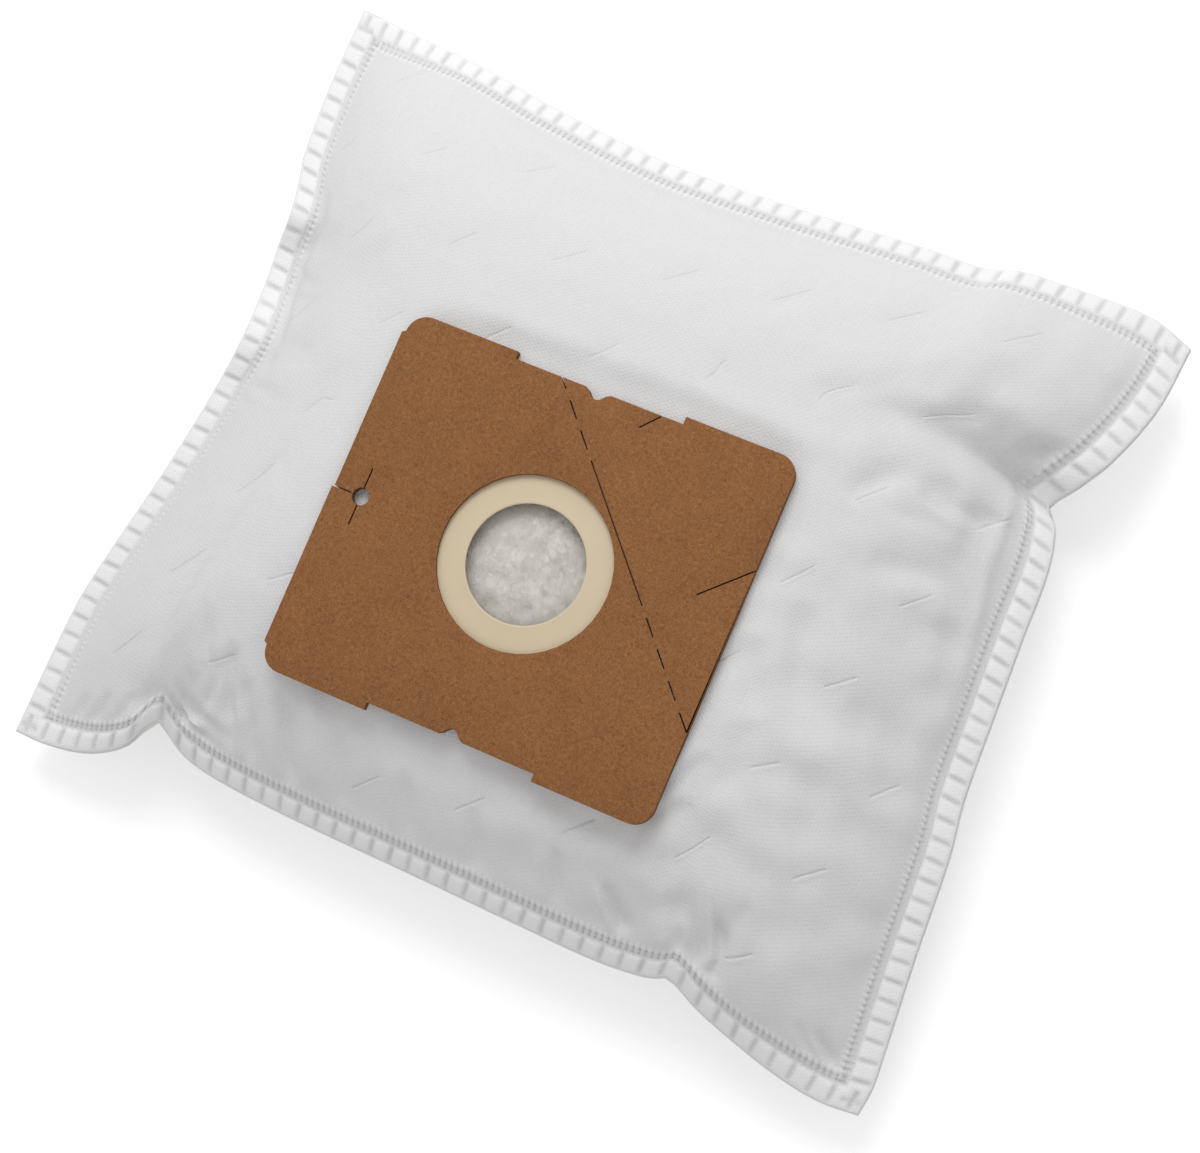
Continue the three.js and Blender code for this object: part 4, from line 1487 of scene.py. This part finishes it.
@dataclass(frozen=True)
class SpunbondFinish:
    """The white outer sheet: point-bonded fibres, painted lighter on the border's blocks and beads as
    painted light, darker and smoother in welds.
    """

    lit: tuple[float, float, float] = (0.835, 0.833, 0.831)
    thin: tuple[float, float, float] = (0.715, 0.713, 0.712)
    # Painted light: the lighter colour painted on the border's blocks and beads.
    puffed: tuple[float, float, float] = (0.935, 0.935, 0.937)
    welded: tuple[float, float, float] = (0.52, 0.52, 0.53)

    def make(self, finishes: Finishes, name: str) -> Material:
        """Builds the material.

        Args:
            finishes: The shared groups.
            name: The material's name.

        Returns:
            The material.
        """
        material, tree, shader = finishes.start(name)
        place = tree_node(tree, "ShaderNodeUVMap", uv_map="cut_map").outputs["UV"]
        mottle = finishes.mottle(tree, place, fibre_scale=1400.0, cloud_scale=70.0)
        bonds = finishes.group(tree, "bonds", {"Place": place})
        weld = tree_node(tree, "ShaderNodeAttribute", attribute_name="weld").outputs["Fac"]
        cloth = finishes.mix(tree, mottle.outputs["Fibres"], self.thin, self.lit)
        # Painted light: this mask colours the border's blocks and beads lighter.
        puff_painted_light = tree_node(tree, "ShaderNodeAttribute", attribute_name="puff_painted_light").outputs["Fac"]
        cloth = finishes.mix(tree, puff_painted_light, cloth, self.puffed)
        colour = finishes.mix(tree, weld, cloth, self.welded)
        finishes.surface(tree, shader, colour, {
            "Specular IOR Level": 0.35, "Sheen Weight": 0.12, "Sheen Roughness": 0.5})
        rough = tree_node(tree, "ShaderNodeMapRange", {"Value": weld, "To Min": 0.72, "To Max": 0.42})
        tree.links.new(rough.outputs["Result"], shader.inputs["Roughness"])
        finishes.bump(tree, shader, [
            (mottle.outputs["Clouds"], 0.3 * MM),
            (bonds.outputs["Points"], -0.045 * MM),
            (mottle.outputs["Fibres"], 0.16 * MM)])
        return material


@dataclass(frozen=True)
class FleeceFinish:
    """The loose white fleece inside the bag, with a warm tint that is painted bounce light from the kraft
    cards and the rubber ring.
    """

    # Painted light: both colours are tinted warm for the light that the cards and the ring throw on the
    # fleece.
    light: tuple[float, float, float] = (0.99, 0.96, 0.915)
    deep: tuple[float, float, float] = (0.965, 0.93, 0.875)
    depth_share: float = 0.35
    depth_reach: float = 4.0
    depth_colour: tuple[float, float, float] = (1.0, 0.95, 0.88)

    def make(self, finishes: Finishes, name: str) -> Material:
        """Builds the material.

        Args:
            finishes: The shared groups.
            name: The material's name.

        Returns:
            The material.
        """
        material, tree, shader = finishes.start(name)
        place = tree_node(tree, "ShaderNodeTexCoord").outputs["Object"]
        mottle = finishes.mottle(tree, place, fibre_scale=900.0, cloud_scale=110.0)
        colour = finishes.mix(tree, mottle.outputs["Fibres"], self.deep, self.light)
        finishes.surface(tree, shader, colour, {
            "Subsurface Weight": self.depth_share, "Subsurface Radius": self.depth_colour,
            "Subsurface Scale": self.depth_reach * MM, "Roughness": 0.95,
            "Specular IOR Level": 0.2, "Sheen Weight": 0.25})
        finishes.bump(tree, shader, [
            (mottle.outputs["Clouds"], 0.12 * MM), (mottle.outputs["Fibres"], 0.25 * MM)])
        return material


@dataclass(frozen=True)
class KraftFinish:
    """Brown kraft card with mottled fibres. Its cut faces are darker."""

    light: tuple[float, float, float] = (0.43, 0.192, 0.069)
    dark: tuple[float, float, float] = (0.122, 0.045, 0.0135)
    cut_face: tuple[float, float, float] = (0.17, 0.07, 0.026)

    def make(self, finishes: Finishes, name: str) -> Material:
        """Builds the material.

        Args:
            finishes: The shared groups.
            name: The material's name.

        Returns:
            The material.
        """
        material, tree, shader = finishes.start(name)
        place = tree_node(tree, "ShaderNodeTexCoord").outputs["Object"]
        mottle = finishes.mottle(tree, place, fibre_scale=1250.0, cloud_scale=120.0)
        grain = tree_node(tree, "ShaderNodeMapRange", {
            "Value": mottle.outputs["Grain"], "From Min": 0.36, "From Max": 0.64})
        clouds = tree_node(tree, "ShaderNodeMapRange", {
            "Value": mottle.outputs["Clouds"], "From Min": 0.3, "From Max": 0.7,
            "To Min": 0.42, "To Max": 0.58})
        both = tree_node(tree, "ShaderNodeMath", {
            0: grain.outputs["Result"], 1: clouds.outputs["Result"]}, operation="ADD")
        half = tree_node(tree, "ShaderNodeMath", {0: both.outputs[0], 1: 0.5}, operation="MULTIPLY")
        facing = tree_node(tree, "ShaderNodeNewGeometry").outputs["Normal"]
        upright = tree_node(tree, "ShaderNodeSeparateXYZ", {"Vector": facing}).outputs["Z"]
        level = tree_node(tree, "ShaderNodeMath", {0: upright}, operation="ABSOLUTE").outputs[0]
        cut = tree_node(tree, "ShaderNodeMapRange", {
            "Value": level, "From Min": 0.35, "From Max": 0.8, "To Min": 1.0, "To Max": 0.0})
        face = finishes.mix(tree, half.outputs[0], self.dark, self.light)
        colour = finishes.mix(tree, cut.outputs["Result"], face, self.cut_face)
        finishes.surface(tree, shader, colour, {"Roughness": 0.82, "Specular IOR Level": 0.25})
        finishes.bump(tree, shader, [
            (mottle.outputs["Clouds"], 0.04 * MM), (mottle.outputs["Grain"], 0.06 * MM)])
        return material


@dataclass(frozen=True)
class RubberFinish:
    """The cream rubber of the sealing ring."""

    light: tuple[float, float, float] = (0.745, 0.625, 0.44)
    dull: tuple[float, float, float] = (0.65, 0.53, 0.355)
    # Painted shade: the dark brown that stands in for the shade in the cards' slits over the ring.
    slit_painted_shade: tuple[float, float, float] = (0.2, 0.085, 0.033)
    slit_shade_radius: float = 26.4

    def make(self, finishes: Finishes, name: str, middle: np.ndarray) -> Material:
        """Builds the material. Away from its middle, where the ring lies between the cards and shows
        through their slits, it is coloured dark brown as painted shade for the slits.

        Args:
            finishes: The shared groups.
            name: The material's name.
            middle: The ring's middle, in millimetres.

        Returns:
            The material.
        """
        material, tree, shader = finishes.start(name)
        place = tree_node(tree, "ShaderNodeTexCoord").outputs["Object"]
        mottle = finishes.mottle(tree, place, fibre_scale=1200.0, cloud_scale=45.0)
        colour = finishes.mix(tree, mottle.outputs["Clouds"], self.dull, self.light)
        level = tree_node(tree, "ShaderNodeVectorMath", {0: place, 1: (1, 1, 0)}, operation="MULTIPLY")
        away = tree_node(tree, "ShaderNodeVectorMath", {
            0: level.outputs["Vector"], 1: (*(middle * MM), 0)}, operation="DISTANCE")
        # Painted shade: past this radius the ring shows through the slits and is coloured dark brown.
        under_slits = tree_node(tree, "ShaderNodeMath", {
            0: away.outputs["Value"], 1: self.slit_shade_radius * MM}, operation="GREATER_THAN")
        colour = finishes.mix(tree, under_slits.outputs[0], colour, self.slit_painted_shade)
        finishes.surface(tree, shader, colour, {"Roughness": 0.5, "Specular IOR Level": 0.4})
        finishes.bump(tree, shader, [
            (mottle.outputs["Clouds"], 0.15 * MM), (mottle.outputs["Fibres"], 0.015 * MM)])
        return material


@dataclass(frozen=True)
class FilmFinish:
    """Fibres that the weld has melted to a smooth grey-white film."""

    colour: tuple[float, float, float] = (0.36, 0.362, 0.38)
    lightening: float = 1.25

    def make(self, finishes: Finishes, name: str) -> Material:
        """Builds the material.

        Args:
            finishes: The shared groups.
            name: The material's name.

        Returns:
            The material.
        """
        material, tree, shader = finishes.start(name)
        place = tree_node(tree, "ShaderNodeTexCoord").outputs["Object"]
        mottle = finishes.mottle(tree, place, fibre_scale=900.0, cloud_scale=220.0)
        lighter = tuple(min(1.0, self.lightening * part) for part in self.colour)
        colour = finishes.mix(tree, mottle.outputs["Clouds"], self.colour, lighter)
        finishes.surface(tree, shader, colour, {"Roughness": 0.3})
        finishes.bump(tree, shader, [(mottle.outputs["Clouds"], 0.05 * MM)])
        return material


@dataclass
class NodeModifier:
    """A Geometry Nodes tree with named inputs, run once on an object and then removed."""

    name: str
    tree: NodeTree = field(init=False)
    sockets: dict[str, str] = field(default_factory=dict)

    def __post_init__(self) -> None:
        """Starts the tree with its geometry sockets."""
        self.tree = bpy.data.node_groups.new(self.name, "GeometryNodeTree")
        self.tree.interface.new_socket(name="Geometry", in_out="INPUT", socket_type="NodeSocketGeometry")
        self.tree.interface.new_socket(name="Geometry", in_out="OUTPUT", socket_type="NodeSocketGeometry")
        self.enter = tree_node(self.tree, "NodeGroupInput")

    def size(self, name: str, kind: str = "NodeSocketFloat") -> NodeSocket:
        """Adds a named input and returns the socket to read it from."""
        made = self.tree.interface.new_socket(name=name, in_out="INPUT", socket_type=kind)
        self.sockets[name] = made.identifier
        return self.enter.outputs[name]

    def add(self, kind: str, inputs: dict | None = None, **options) -> Node:
        """Adds a node to the tree."""
        return tree_node(self.tree, kind, inputs, **options)

    def end(self, geometry: NodeSocket, material: NodeSocket) -> None:
        """Ends the tree in Realize Instances and Set Material.

        Args:
            geometry: The finished geometry.
            material: The material's socket.
        """
        real = self.add("GeometryNodeRealizeInstances", {"Geometry": geometry})
        dressed = self.add("GeometryNodeSetMaterial", {
            "Geometry": real.outputs["Geometry"], "Material": material})
        leave = self.add("NodeGroupOutput")
        self.tree.links.new(dressed.outputs["Geometry"], leave.inputs["Geometry"])

    def run(self, carrier: Object, values: dict, name: str) -> Object:
        """Runs the tree on a carrier and keeps the result as a plain mesh.

        Args:
            carrier: The object that the tree reads. It is removed.
            values: A value for each named input.
            name: The name of the finished piece.

        Returns:
            The finished piece.
        """
        modifier = carrier.modifiers.new(self.name, "NODES")
        modifier.node_group = self.tree
        for key, value in values.items():
            modifier[self.sockets[key]] = value
        evaluated = carrier.evaluated_get(bpy.context.evaluated_depsgraph_get())
        mesh = bpy.data.meshes.new_from_object(evaluated)
        mesh.name = name
        bpy.data.objects.remove(carrier)
        made = bpy.data.objects.new(name, mesh)
        bpy.context.scene.collection.objects.link(made)
        return made


@dataclass
class LadderFilm:
    """The melted marks of the ladder weld, one in each recess of the border."""

    cut: Cut
    length: float = 0.92
    width: float = 0.8
    height: float = 0.16
    row_margin: float = 0.1
    look_ahead: float = 0.5

    def tree(self) -> NodeModifier:
        """Builds the tree: a flat drop on each point, lying along its direction."""
        nodes = NodeModifier("ladder_film")
        length, width, height = (nodes.size(name) for name in ("Length", "Width", "Height"))
        material = nodes.size("Material", "NodeSocketMaterial")
        drop = nodes.add("GeometryNodeMeshIcoSphere", {"Radius": 0.5, "Subdivisions": 1})
        size = nodes.add("ShaderNodeCombineXYZ", {"X": length, "Y": width, "Z": height})
        shaped = nodes.add("GeometryNodeTransform", {
            "Geometry": drop.outputs["Mesh"], "Scale": size.outputs["Vector"]})
        smooth = nodes.add("GeometryNodeSetShadeSmooth", {"Geometry": shaped.outputs["Geometry"]})
        rotation = None
        for name, axis, pivot in (("facing", "Z", "AUTO"), ("running", "X", "Z")):
            read = nodes.add("GeometryNodeInputNamedAttribute", {"Name": name}, data_type="FLOAT_VECTOR")
            turn = nodes.add("FunctionNodeAlignRotationToVector", {
                "Vector": read.outputs["Attribute"]}, axis=axis, pivot_axis=pivot)
            if rotation is not None:
                nodes.tree.links.new(rotation, turn.inputs["Rotation"])
            rotation = turn.outputs["Rotation"]
        placed = nodes.add("GeometryNodeInstanceOnPoints", {
            "Points": nodes.enter.outputs["Geometry"], "Instance": smooth.outputs["Geometry"],
            "Rotation": rotation})
        nodes.end(placed.outputs["Instances"], material)
        return nodes

    def build(self, surface: PanelSurface, name: str, material: Material) -> Object:
        """Lays the marks on one panel.

        Args:
            surface: The panel.
            name: The piece's name.
            material: The finish of the film.

        Returns:
            The finished piece.
        """
        border = WeldBorder(self.cut)
        places, directions = border.ladder_places()
        inside = self.cut.edge_distance(*places.T) > border.ladder_rows[0] - self.row_margin
        places, directions = places[inside], directions[inside]
        points, normals = surface.at(*places.T)
        ahead, _ = surface.at(*(places + self.look_ahead * directions).T)
        running = ahead - points
        depth, _, _ = border.relief(*places.T)
        points = points + normals * depth[:, None]
        carrier = mesh_object("ladder_points", points, np.empty((0, 3), int))
        for key, values in (("facing", normals), ("running", running)):
            attribute = carrier.data.attributes.new(key, "FLOAT_VECTOR", "POINT")
            attribute.data.foreach_set("vector", values.astype(np.float32).ravel())
        sizes = {"Length": self.length * MM, "Width": self.width * MM, "Height": self.height * MM}
        return self.tree().run(carrier, {**sizes, "Material": material}, name)


@dataclass
class InletFluff:
    """Loose fibres that stand up from the back fleece under the inlet."""

    inlet: np.ndarray
    radius: float = 21.0
    lowest: float = 15.0
    fibre_size: float = 0.032
    fibre_steps: int = 7
    fibre_turns: float = 0.45
    fibre_ends: tuple[float, float] = (4.0, 2.2)
    fibre_rise: float = 0.9
    most_turn: tuple[float, float, float] = (0.35, 0.35, 3.1)
    scales: tuple[float, float] = (0.45, 1.25)
    bend: float = 1.5
    bends_per_metre: float = 260.0
    density: float = 2.6
    seed: int = 5

    def tree(self) -> NodeModifier:
        """Builds the tree: bent fibres scattered over the mound, each with its own turn and size."""
        nodes = NodeModifier("inlet_fluff")
        thickness, density = nodes.size("Fibre Radius"), nodes.size("Density")
        seed = nodes.size("Seed", "NodeSocketInt")
        material = nodes.size("Material", "NodeSocketMaterial")
        scattered = nodes.add("GeometryNodeDistributePointsOnFaces", {
            "Mesh": nodes.enter.outputs["Geometry"], "Density": density, "Seed": seed})
        fibre = nodes.add("GeometryNodeCurveSpiral", {
            "Resolution": self.fibre_steps, "Rotations": self.fibre_turns,
            "Start Radius": self.fibre_ends[0] * MM, "End Radius": self.fibre_ends[1] * MM,
            "Height": self.fibre_rise * MM})
        least_turn = tuple(-part for part in self.most_turn)
        turn = nodes.add("FunctionNodeRandomValue", {
            0: least_turn, 1: self.most_turn, "Seed": seed}, data_type="FLOAT_VECTOR")
        size = nodes.add("FunctionNodeRandomValue", {
            2: self.scales[0], 3: self.scales[1], "Seed": seed}, data_type="FLOAT")
        placed = nodes.add("GeometryNodeInstanceOnPoints", {
            "Points": scattered.outputs["Points"], "Instance": fibre.outputs["Curve"],
            "Rotation": turn.outputs[0], "Scale": size.outputs[1]})
        strands = nodes.add("GeometryNodeRealizeInstances", {"Geometry": placed.outputs["Instances"]})
        place = nodes.add("GeometryNodeInputPosition")
        waves = nodes.add("ShaderNodeTexNoise", {
            "Vector": place.outputs["Position"], "Scale": self.bends_per_metre, "Detail": 1.0})
        centred = nodes.add("ShaderNodeVectorMath", {
            0: waves.outputs["Color"], 1: (0.5, 0.5, 0.5)}, operation="SUBTRACT")
        shift = nodes.add("ShaderNodeVectorMath", {
            0: centred.outputs["Vector"], "Scale": self.bend * MM}, operation="SCALE")
        bent = nodes.add("GeometryNodeSetPosition", {
            "Geometry": strands.outputs["Geometry"], "Offset": shift.outputs["Vector"]})
        section = nodes.add("GeometryNodeCurvePrimitiveCircle", {"Resolution": 3, "Radius": thickness})
        solid = nodes.add("GeometryNodeCurveToMesh", {
            "Curve": bent.outputs["Geometry"], "Profile Curve": section.outputs["Curve"],
            "Fill Caps": True})
        smooth = nodes.add("GeometryNodeSetShadeSmooth", {"Geometry": solid.outputs["Mesh"]})
        nodes.end(smooth.outputs["Geometry"], material)
        return nodes

    def build(self, fleece: Object, name: str, material: Material) -> Object:
        """Scatters fibres over the top of the fleece's mound.

        Args:
            fleece: The back fleece.
            name: The piece's name.
            material: The finish of the fibres.

        Returns:
            The finished piece.
        """
        points = np.empty(len(fleece.data.vertices) * 3)
        fleece.data.vertices.foreach_get("co", points)
        points = points.reshape(-1, 3) / MM
        triangles = np.empty(len(fleece.data.polygons) * 3, np.int32)
        fleece.data.polygons.foreach_get("vertices", triangles)
        triangles = triangles.reshape(-1, 3)
        middles = points[triangles].mean(axis=1)
        near = np.hypot(*(middles[:, :2] - self.inlet).T) < self.radius
        high = middles[:, 2] > self.lowest
        bed = mesh_object("fluff_bed", points, triangles[near & high])
        values = {"Fibre Radius": self.fibre_size * MM, "Density": self.density / MM**2,
                  "Seed": self.seed, "Material": material}
        return self.tree().run(bed, values, name)


@dataclass
class HolderPlate:
    """The card holder plate: two kraft cards and the rubber ring that seals the inlet."""

    nodes: dict[str, Object]
    edge_round: float = 0.1
    merge_distance: float = 1e-6
    flat_angle: float = math.radians(2)
    edge_angle: float = math.radians(50)
    sharp_angle: float = math.radians(35)
    ring_sharp_angle: float = math.radians(60)
    ring_steps: int = 128
    ring_hole: float = 17.0
    ring_corner: float = 0.12
    ring_face: tuple[tuple[float, float], ...] = ((0.6, 0.0), (1.2, 0.06), (3.0, 0.1), (6.0, 0.06))

    def card(self, node: str, name: str, material: Material) -> Object:
        """Copies a card, merges its loose triangles and rounds its edges.

        Args:
            node: The card's node in the frame.
            name: The piece's name.
            material: The finish of the card.

        Returns:
            The rounded card.
        """
        made = self.nodes[node].copy()
        made.data = self.nodes[node].data.copy()
        made.name = name
        for key in [key for key in made.keys() if key.startswith("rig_")]:
            del made[key]
        made.parent = None
        bpy.context.scene.collection.objects.link(made)
        bpy.ops.object.select_all(action="DESELECT")
        bpy.context.view_layer.objects.active = made
        made.select_set(True)
        bpy.ops.object.mode_set(mode="EDIT")
        bpy.ops.mesh.select_all(action="SELECT")
        bpy.ops.mesh.remove_doubles(threshold=self.merge_distance)
        bpy.ops.mesh.dissolve_limited(angle_limit=self.flat_angle)
        bpy.ops.object.mode_set(mode="OBJECT")
        rounding = made.modifiers.new("edge_round", "BEVEL")
        rounding.width = self.edge_round * MM
        rounding.segments = 2
        rounding.limit_method = "ANGLE"
        rounding.angle_limit = self.edge_angle
        evaluated = made.evaluated_get(bpy.context.evaluated_depsgraph_get())
        finished = bpy.data.meshes.new_from_object(evaluated)
        made.modifiers.clear()
        made.data = finished
        finished.name = name
        finished.materials.clear()
        finished.materials.append(material)
        finished.shade_smooth()
        finished.set_sharp_from_angle(angle=self.sharp_angle)
        return made

    def ring(self, node: str, name: str, material: Material) -> Object:
        """Turns the sealing ring.

        Args:
            node: The ring's node in the frame, which gives its place and outer size.
            name: The piece's name.
            material: The finish of the rubber.

        Returns:
            The ring, with its upper face slightly hollow between its hole and its outer edge.
        """
        low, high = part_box(node)
        middle = (low + high) / 2 / MM
        outer = (high.x - low.x) / 2 / MM
        hole, corner = self.ring_hole, self.ring_corner
        bottom, top = low.z / MM, high.z / MM
        hole_side = [(hole, bottom + 0.1), (hole, top - corner), (hole + corner, top)]
        face = [(hole + out, top - down) for out, down in self.ring_face]
        outer_side = [(outer - 0.1, top - 0.02), (outer, top - corner), (outer, bottom + 0.05)]
        below = [(outer - 0.05, bottom), (hole + 0.1, bottom)]
        profile = hole_side + face + outer_side + below
        turns = np.linspace(0, 2 * np.pi, self.ring_steps, endpoint=False)
        points = np.array([[middle.x + r * math.cos(t), middle.y + r * math.sin(t), z]
                           for t in turns for r, z in profile])
        count = len(profile)
        triangles = []
        for step in range(self.ring_steps):
            for k in range(count):
                a, b = step * count + k, step * count + (k + 1) % count
                ahead = ((step + 1) % self.ring_steps - step) * count
                triangles += [(a, b, b + ahead), (a, b + ahead, a + ahead)]
        made = mesh_object(name, points, np.array(triangles)[:, ::-1])
        made.data.set_sharp_from_angle(angle=self.ring_sharp_angle)
        made.data.materials.append(material)
        return made


@dataclass(frozen=True)
class Studio:
    """A white table, one large soft lamp, an even surround, and the camera above the bag.

    The camera and the lamp are placed in metres, and the table top in millimetres.
    """

    target: tuple[float, float, float] = (0.0087, -0.01086, 0.020)
    towards_camera: tuple[float, float, float] = (0.2291, -0.0705, 0.9708)
    distance: float = 0.7448
    roll: float = math.radians(23.174)
    lens: float = 78.0
    lamp_direction: tuple[float, float, float] = (-0.24, 0.66, 0.8)
    lamp_distance: float = 1.1
    lamp_size: float = 0.7
    lamp_power: float = 5.3
    surround: float = 0.585
    surround_colour: tuple[float, float, float, float] = (0.99, 0.99, 0.995, 1)
    floor_half: float = 9000.0
    floor_level: float = -0.3
    floor_colour: tuple[float, float, float, float] = (0.86, 0.863, 0.872, 1)
    floor_lift: float = 0.42

    def camera(self) -> None:
        """Places the camera as the bag is seen, turned about its own axis."""
        back = Vector(self.towards_camera).normalized()
        level = Vector((0, 1, 0)).cross(back).normalized()
        upright = back.cross(level)
        right = level * math.cos(self.roll) + upright * math.sin(self.roll)
        up = upright * math.cos(self.roll) - level * math.sin(self.roll)
        data = bpy.data.cameras.new("camera")
        data.lens = self.lens
        data.sensor_width = 36
        data.sensor_fit = "HORIZONTAL"
        data.clip_start = 0.01
        made = bpy.data.objects.new("camera", data)
        axes = Matrix((right, up, back)).transposed().to_4x4()
        made.matrix_world = Matrix.Translation(Vector(self.target) + back * self.distance) @ axes
        bpy.context.scene.collection.objects.link(made)
        bpy.context.scene.camera = made

    def lamp(self) -> None:
        """Places the soft lamp behind the bag's left corner."""
        data = bpy.data.lights.new("soft_lamp", "AREA")
        data.shape = "DISK"
        data.size = self.lamp_size
        data.energy = self.lamp_power
        made = bpy.data.objects.new("soft_lamp", data)
        direction = Vector(self.lamp_direction).normalized()
        made.location = direction * self.lamp_distance
        made.rotation_euler = direction.to_track_quat("Z", "Y").to_euler()
        bpy.context.scene.collection.objects.link(made)

    def world(self) -> None:
        """Lights the bag evenly, and shows white to the camera and to rays that pass through a surface."""
        world = bpy.data.worlds.new("surround")
        bpy.context.scene.world = world
        world.use_nodes = True
        tree = world.node_tree
        tree.nodes.clear()
        path = tree_node(tree, "ShaderNodeLightPath")
        seen = tree_node(tree, "ShaderNodeMath", {
            0: path.outputs["Is Camera Ray"], 1: path.outputs["Is Transmission Ray"]}, operation="MAXIMUM")
        white = tree_node(tree, "ShaderNodeBackground", {"Color": (1, 1, 1, 1), "Strength": 1.0})
        fill = tree_node(tree, "ShaderNodeBackground", {
            "Color": self.surround_colour, "Strength": self.surround})
        both = tree_node(tree, "ShaderNodeMixShader", {
            "Fac": seen.outputs[0], 1: fill.outputs[0], 2: white.outputs[0]})
        leave = tree_node(tree, "ShaderNodeOutputWorld", {"Surface": both.outputs[0]})
        leave.is_active_output = True

    def floor(self) -> None:
        """A white table top that reads as white, and keeps the bag's soft shadow."""
        turns = ((-1, -1), (1, -1), (1, 1), (-1, 1))
        corners = np.array([[x * self.floor_half, y * self.floor_half, self.floor_level] for x, y in turns])
        made = mesh_object("floor", corners, np.array([[0, 1, 2], [0, 2, 3]]))
        material = bpy.data.materials.new("table_white")
        material.use_nodes = True
        tree = material.node_tree
        tree.nodes.clear()
        plain = tree_node(tree, "ShaderNodeBsdfDiffuse", {"Color": self.floor_colour})
        path = tree_node(tree, "ShaderNodeLightPath")
        glow = tree_node(tree, "ShaderNodeEmission", {"Color": (1, 1, 1, 1)})
        lift = tree_node(tree, "ShaderNodeMath", {
            0: path.outputs["Is Camera Ray"], 1: self.floor_lift}, operation="MULTIPLY")
        tree.links.new(lift.outputs[0], glow.inputs["Strength"])
        both = tree_node(tree, "ShaderNodeAddShader", {0: plain.outputs[0], 1: glow.outputs[0]})
        tree_node(tree, "ShaderNodeOutputMaterial", {"Surface": both.outputs[0]})
        made.data.materials.append(material)

    def build(self) -> None:
        """Sets up the studio."""
        bpy.context.scene.view_settings.view_transform = "Standard"
        self.camera()
        self.lamp()
        self.world()
        self.floor()


def build_cloth(cut: Cut, surfaces: dict[Panel, PanelSurface], inlet: np.ndarray,
                finishes: Finishes) -> None:
    """Builds and dresses the sheets of the bag, their welds and the fluff.

    Args:
        cut: The flat cut of the panels.
        surfaces: The outer face of each panel.
        inlet: The middle of the inlet, seen from above.
        finishes: The shared materials.
    """
    cloth = BagCloth(cut, surfaces, inlet)
    spunbond = SpunbondFinish().make(finishes, "spunbond_white")
    fleece_white = FleeceFinish().make(finishes, "fleece_white")
    film = FilmFinish().make(finishes, "weld_film")
    front = cloth.outer_sheet(Panel.FRONT, "front_outer_cloth")
    front.data.materials.append(spunbond)
    back = cloth.outer_sheet(Panel.BACK, "back_outer_cloth")
    back.data.materials.append(spunbond)
    front_fleece = cloth.fleece(Panel.FRONT, "front_fleece_layer")
    front_fleece.data.materials.append(fleece_white)
    back_fleece = cloth.fleece(Panel.BACK, "back_fleece_layer")
    back_fleece.data.materials.append(fleece_white)
    declare_sheet(back, "back_outer_sheet")
    declare_sheet(back_fleece, "back_inner_fleece")
    declare_sheet(front_fleece, "front_inner_fleece")
    declare_sheet(front, "front_outer_sheet")
    for which, name in ((Panel.FRONT, "front_ladder_welds"), (Panel.BACK, "back_ladder_welds")):
        declare(LadderFilm(cut).build(surfaces[which], name, film))
    declare(InletFluff(inlet).build(back_fleece, "inlet_fluff_fibres", fleece_white))


def build_plate(frame: dict[str, dict], finishes: Finishes) -> None:
    """Builds and dresses the holder plate.

    Args:
        frame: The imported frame.
        finishes: The shared materials.
    """
    plate = HolderPlate(frame["nodes"])
    kraft = KraftFinish().make(finishes, "kraft_brown")
    low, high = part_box("sealing_ring")
    rubber = RubberFinish().make(finishes, "rubber_cream", np.array((low + high) / 2 / MM)[:2])
    for node, name in (("plate_top_card", "top_card"), ("plate_base_card", "base_card")):
        declare(plate.card(node, name, kraft), node)
    declare(plate.ring("sealing_ring", "inlet_sealing_ring", rubber), "sealing_ring")


def main() -> None:
    """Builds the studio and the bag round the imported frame."""
    logging.basicConfig(level=logging.INFO, format="%(name)s: %(message)s")
    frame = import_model()
    Studio().build()
    low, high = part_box("plate_top_card")
    plate_middle = np.array((low + high) / 2 / MM)[:2]
    plate_reach = np.array((high - low) / 2 / MM)[:2]
    offset = np.array([*(plate_middle - np.array(PLATE_FROM_ORIGIN)), 0.0])
    crown_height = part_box("front_outer_sheet")[1].z / MM
    cut = Cut()
    form = BagForm(cut, offset, crown_height)
    surfaces = PuffedCloth(form, plate_middle, plate_reach).panels()
    finishes = Finishes()
    build_cloth(cut, surfaces, plate_middle, finishes)
    build_plate(frame, finishes)


if __name__ == "__main__":
    main()
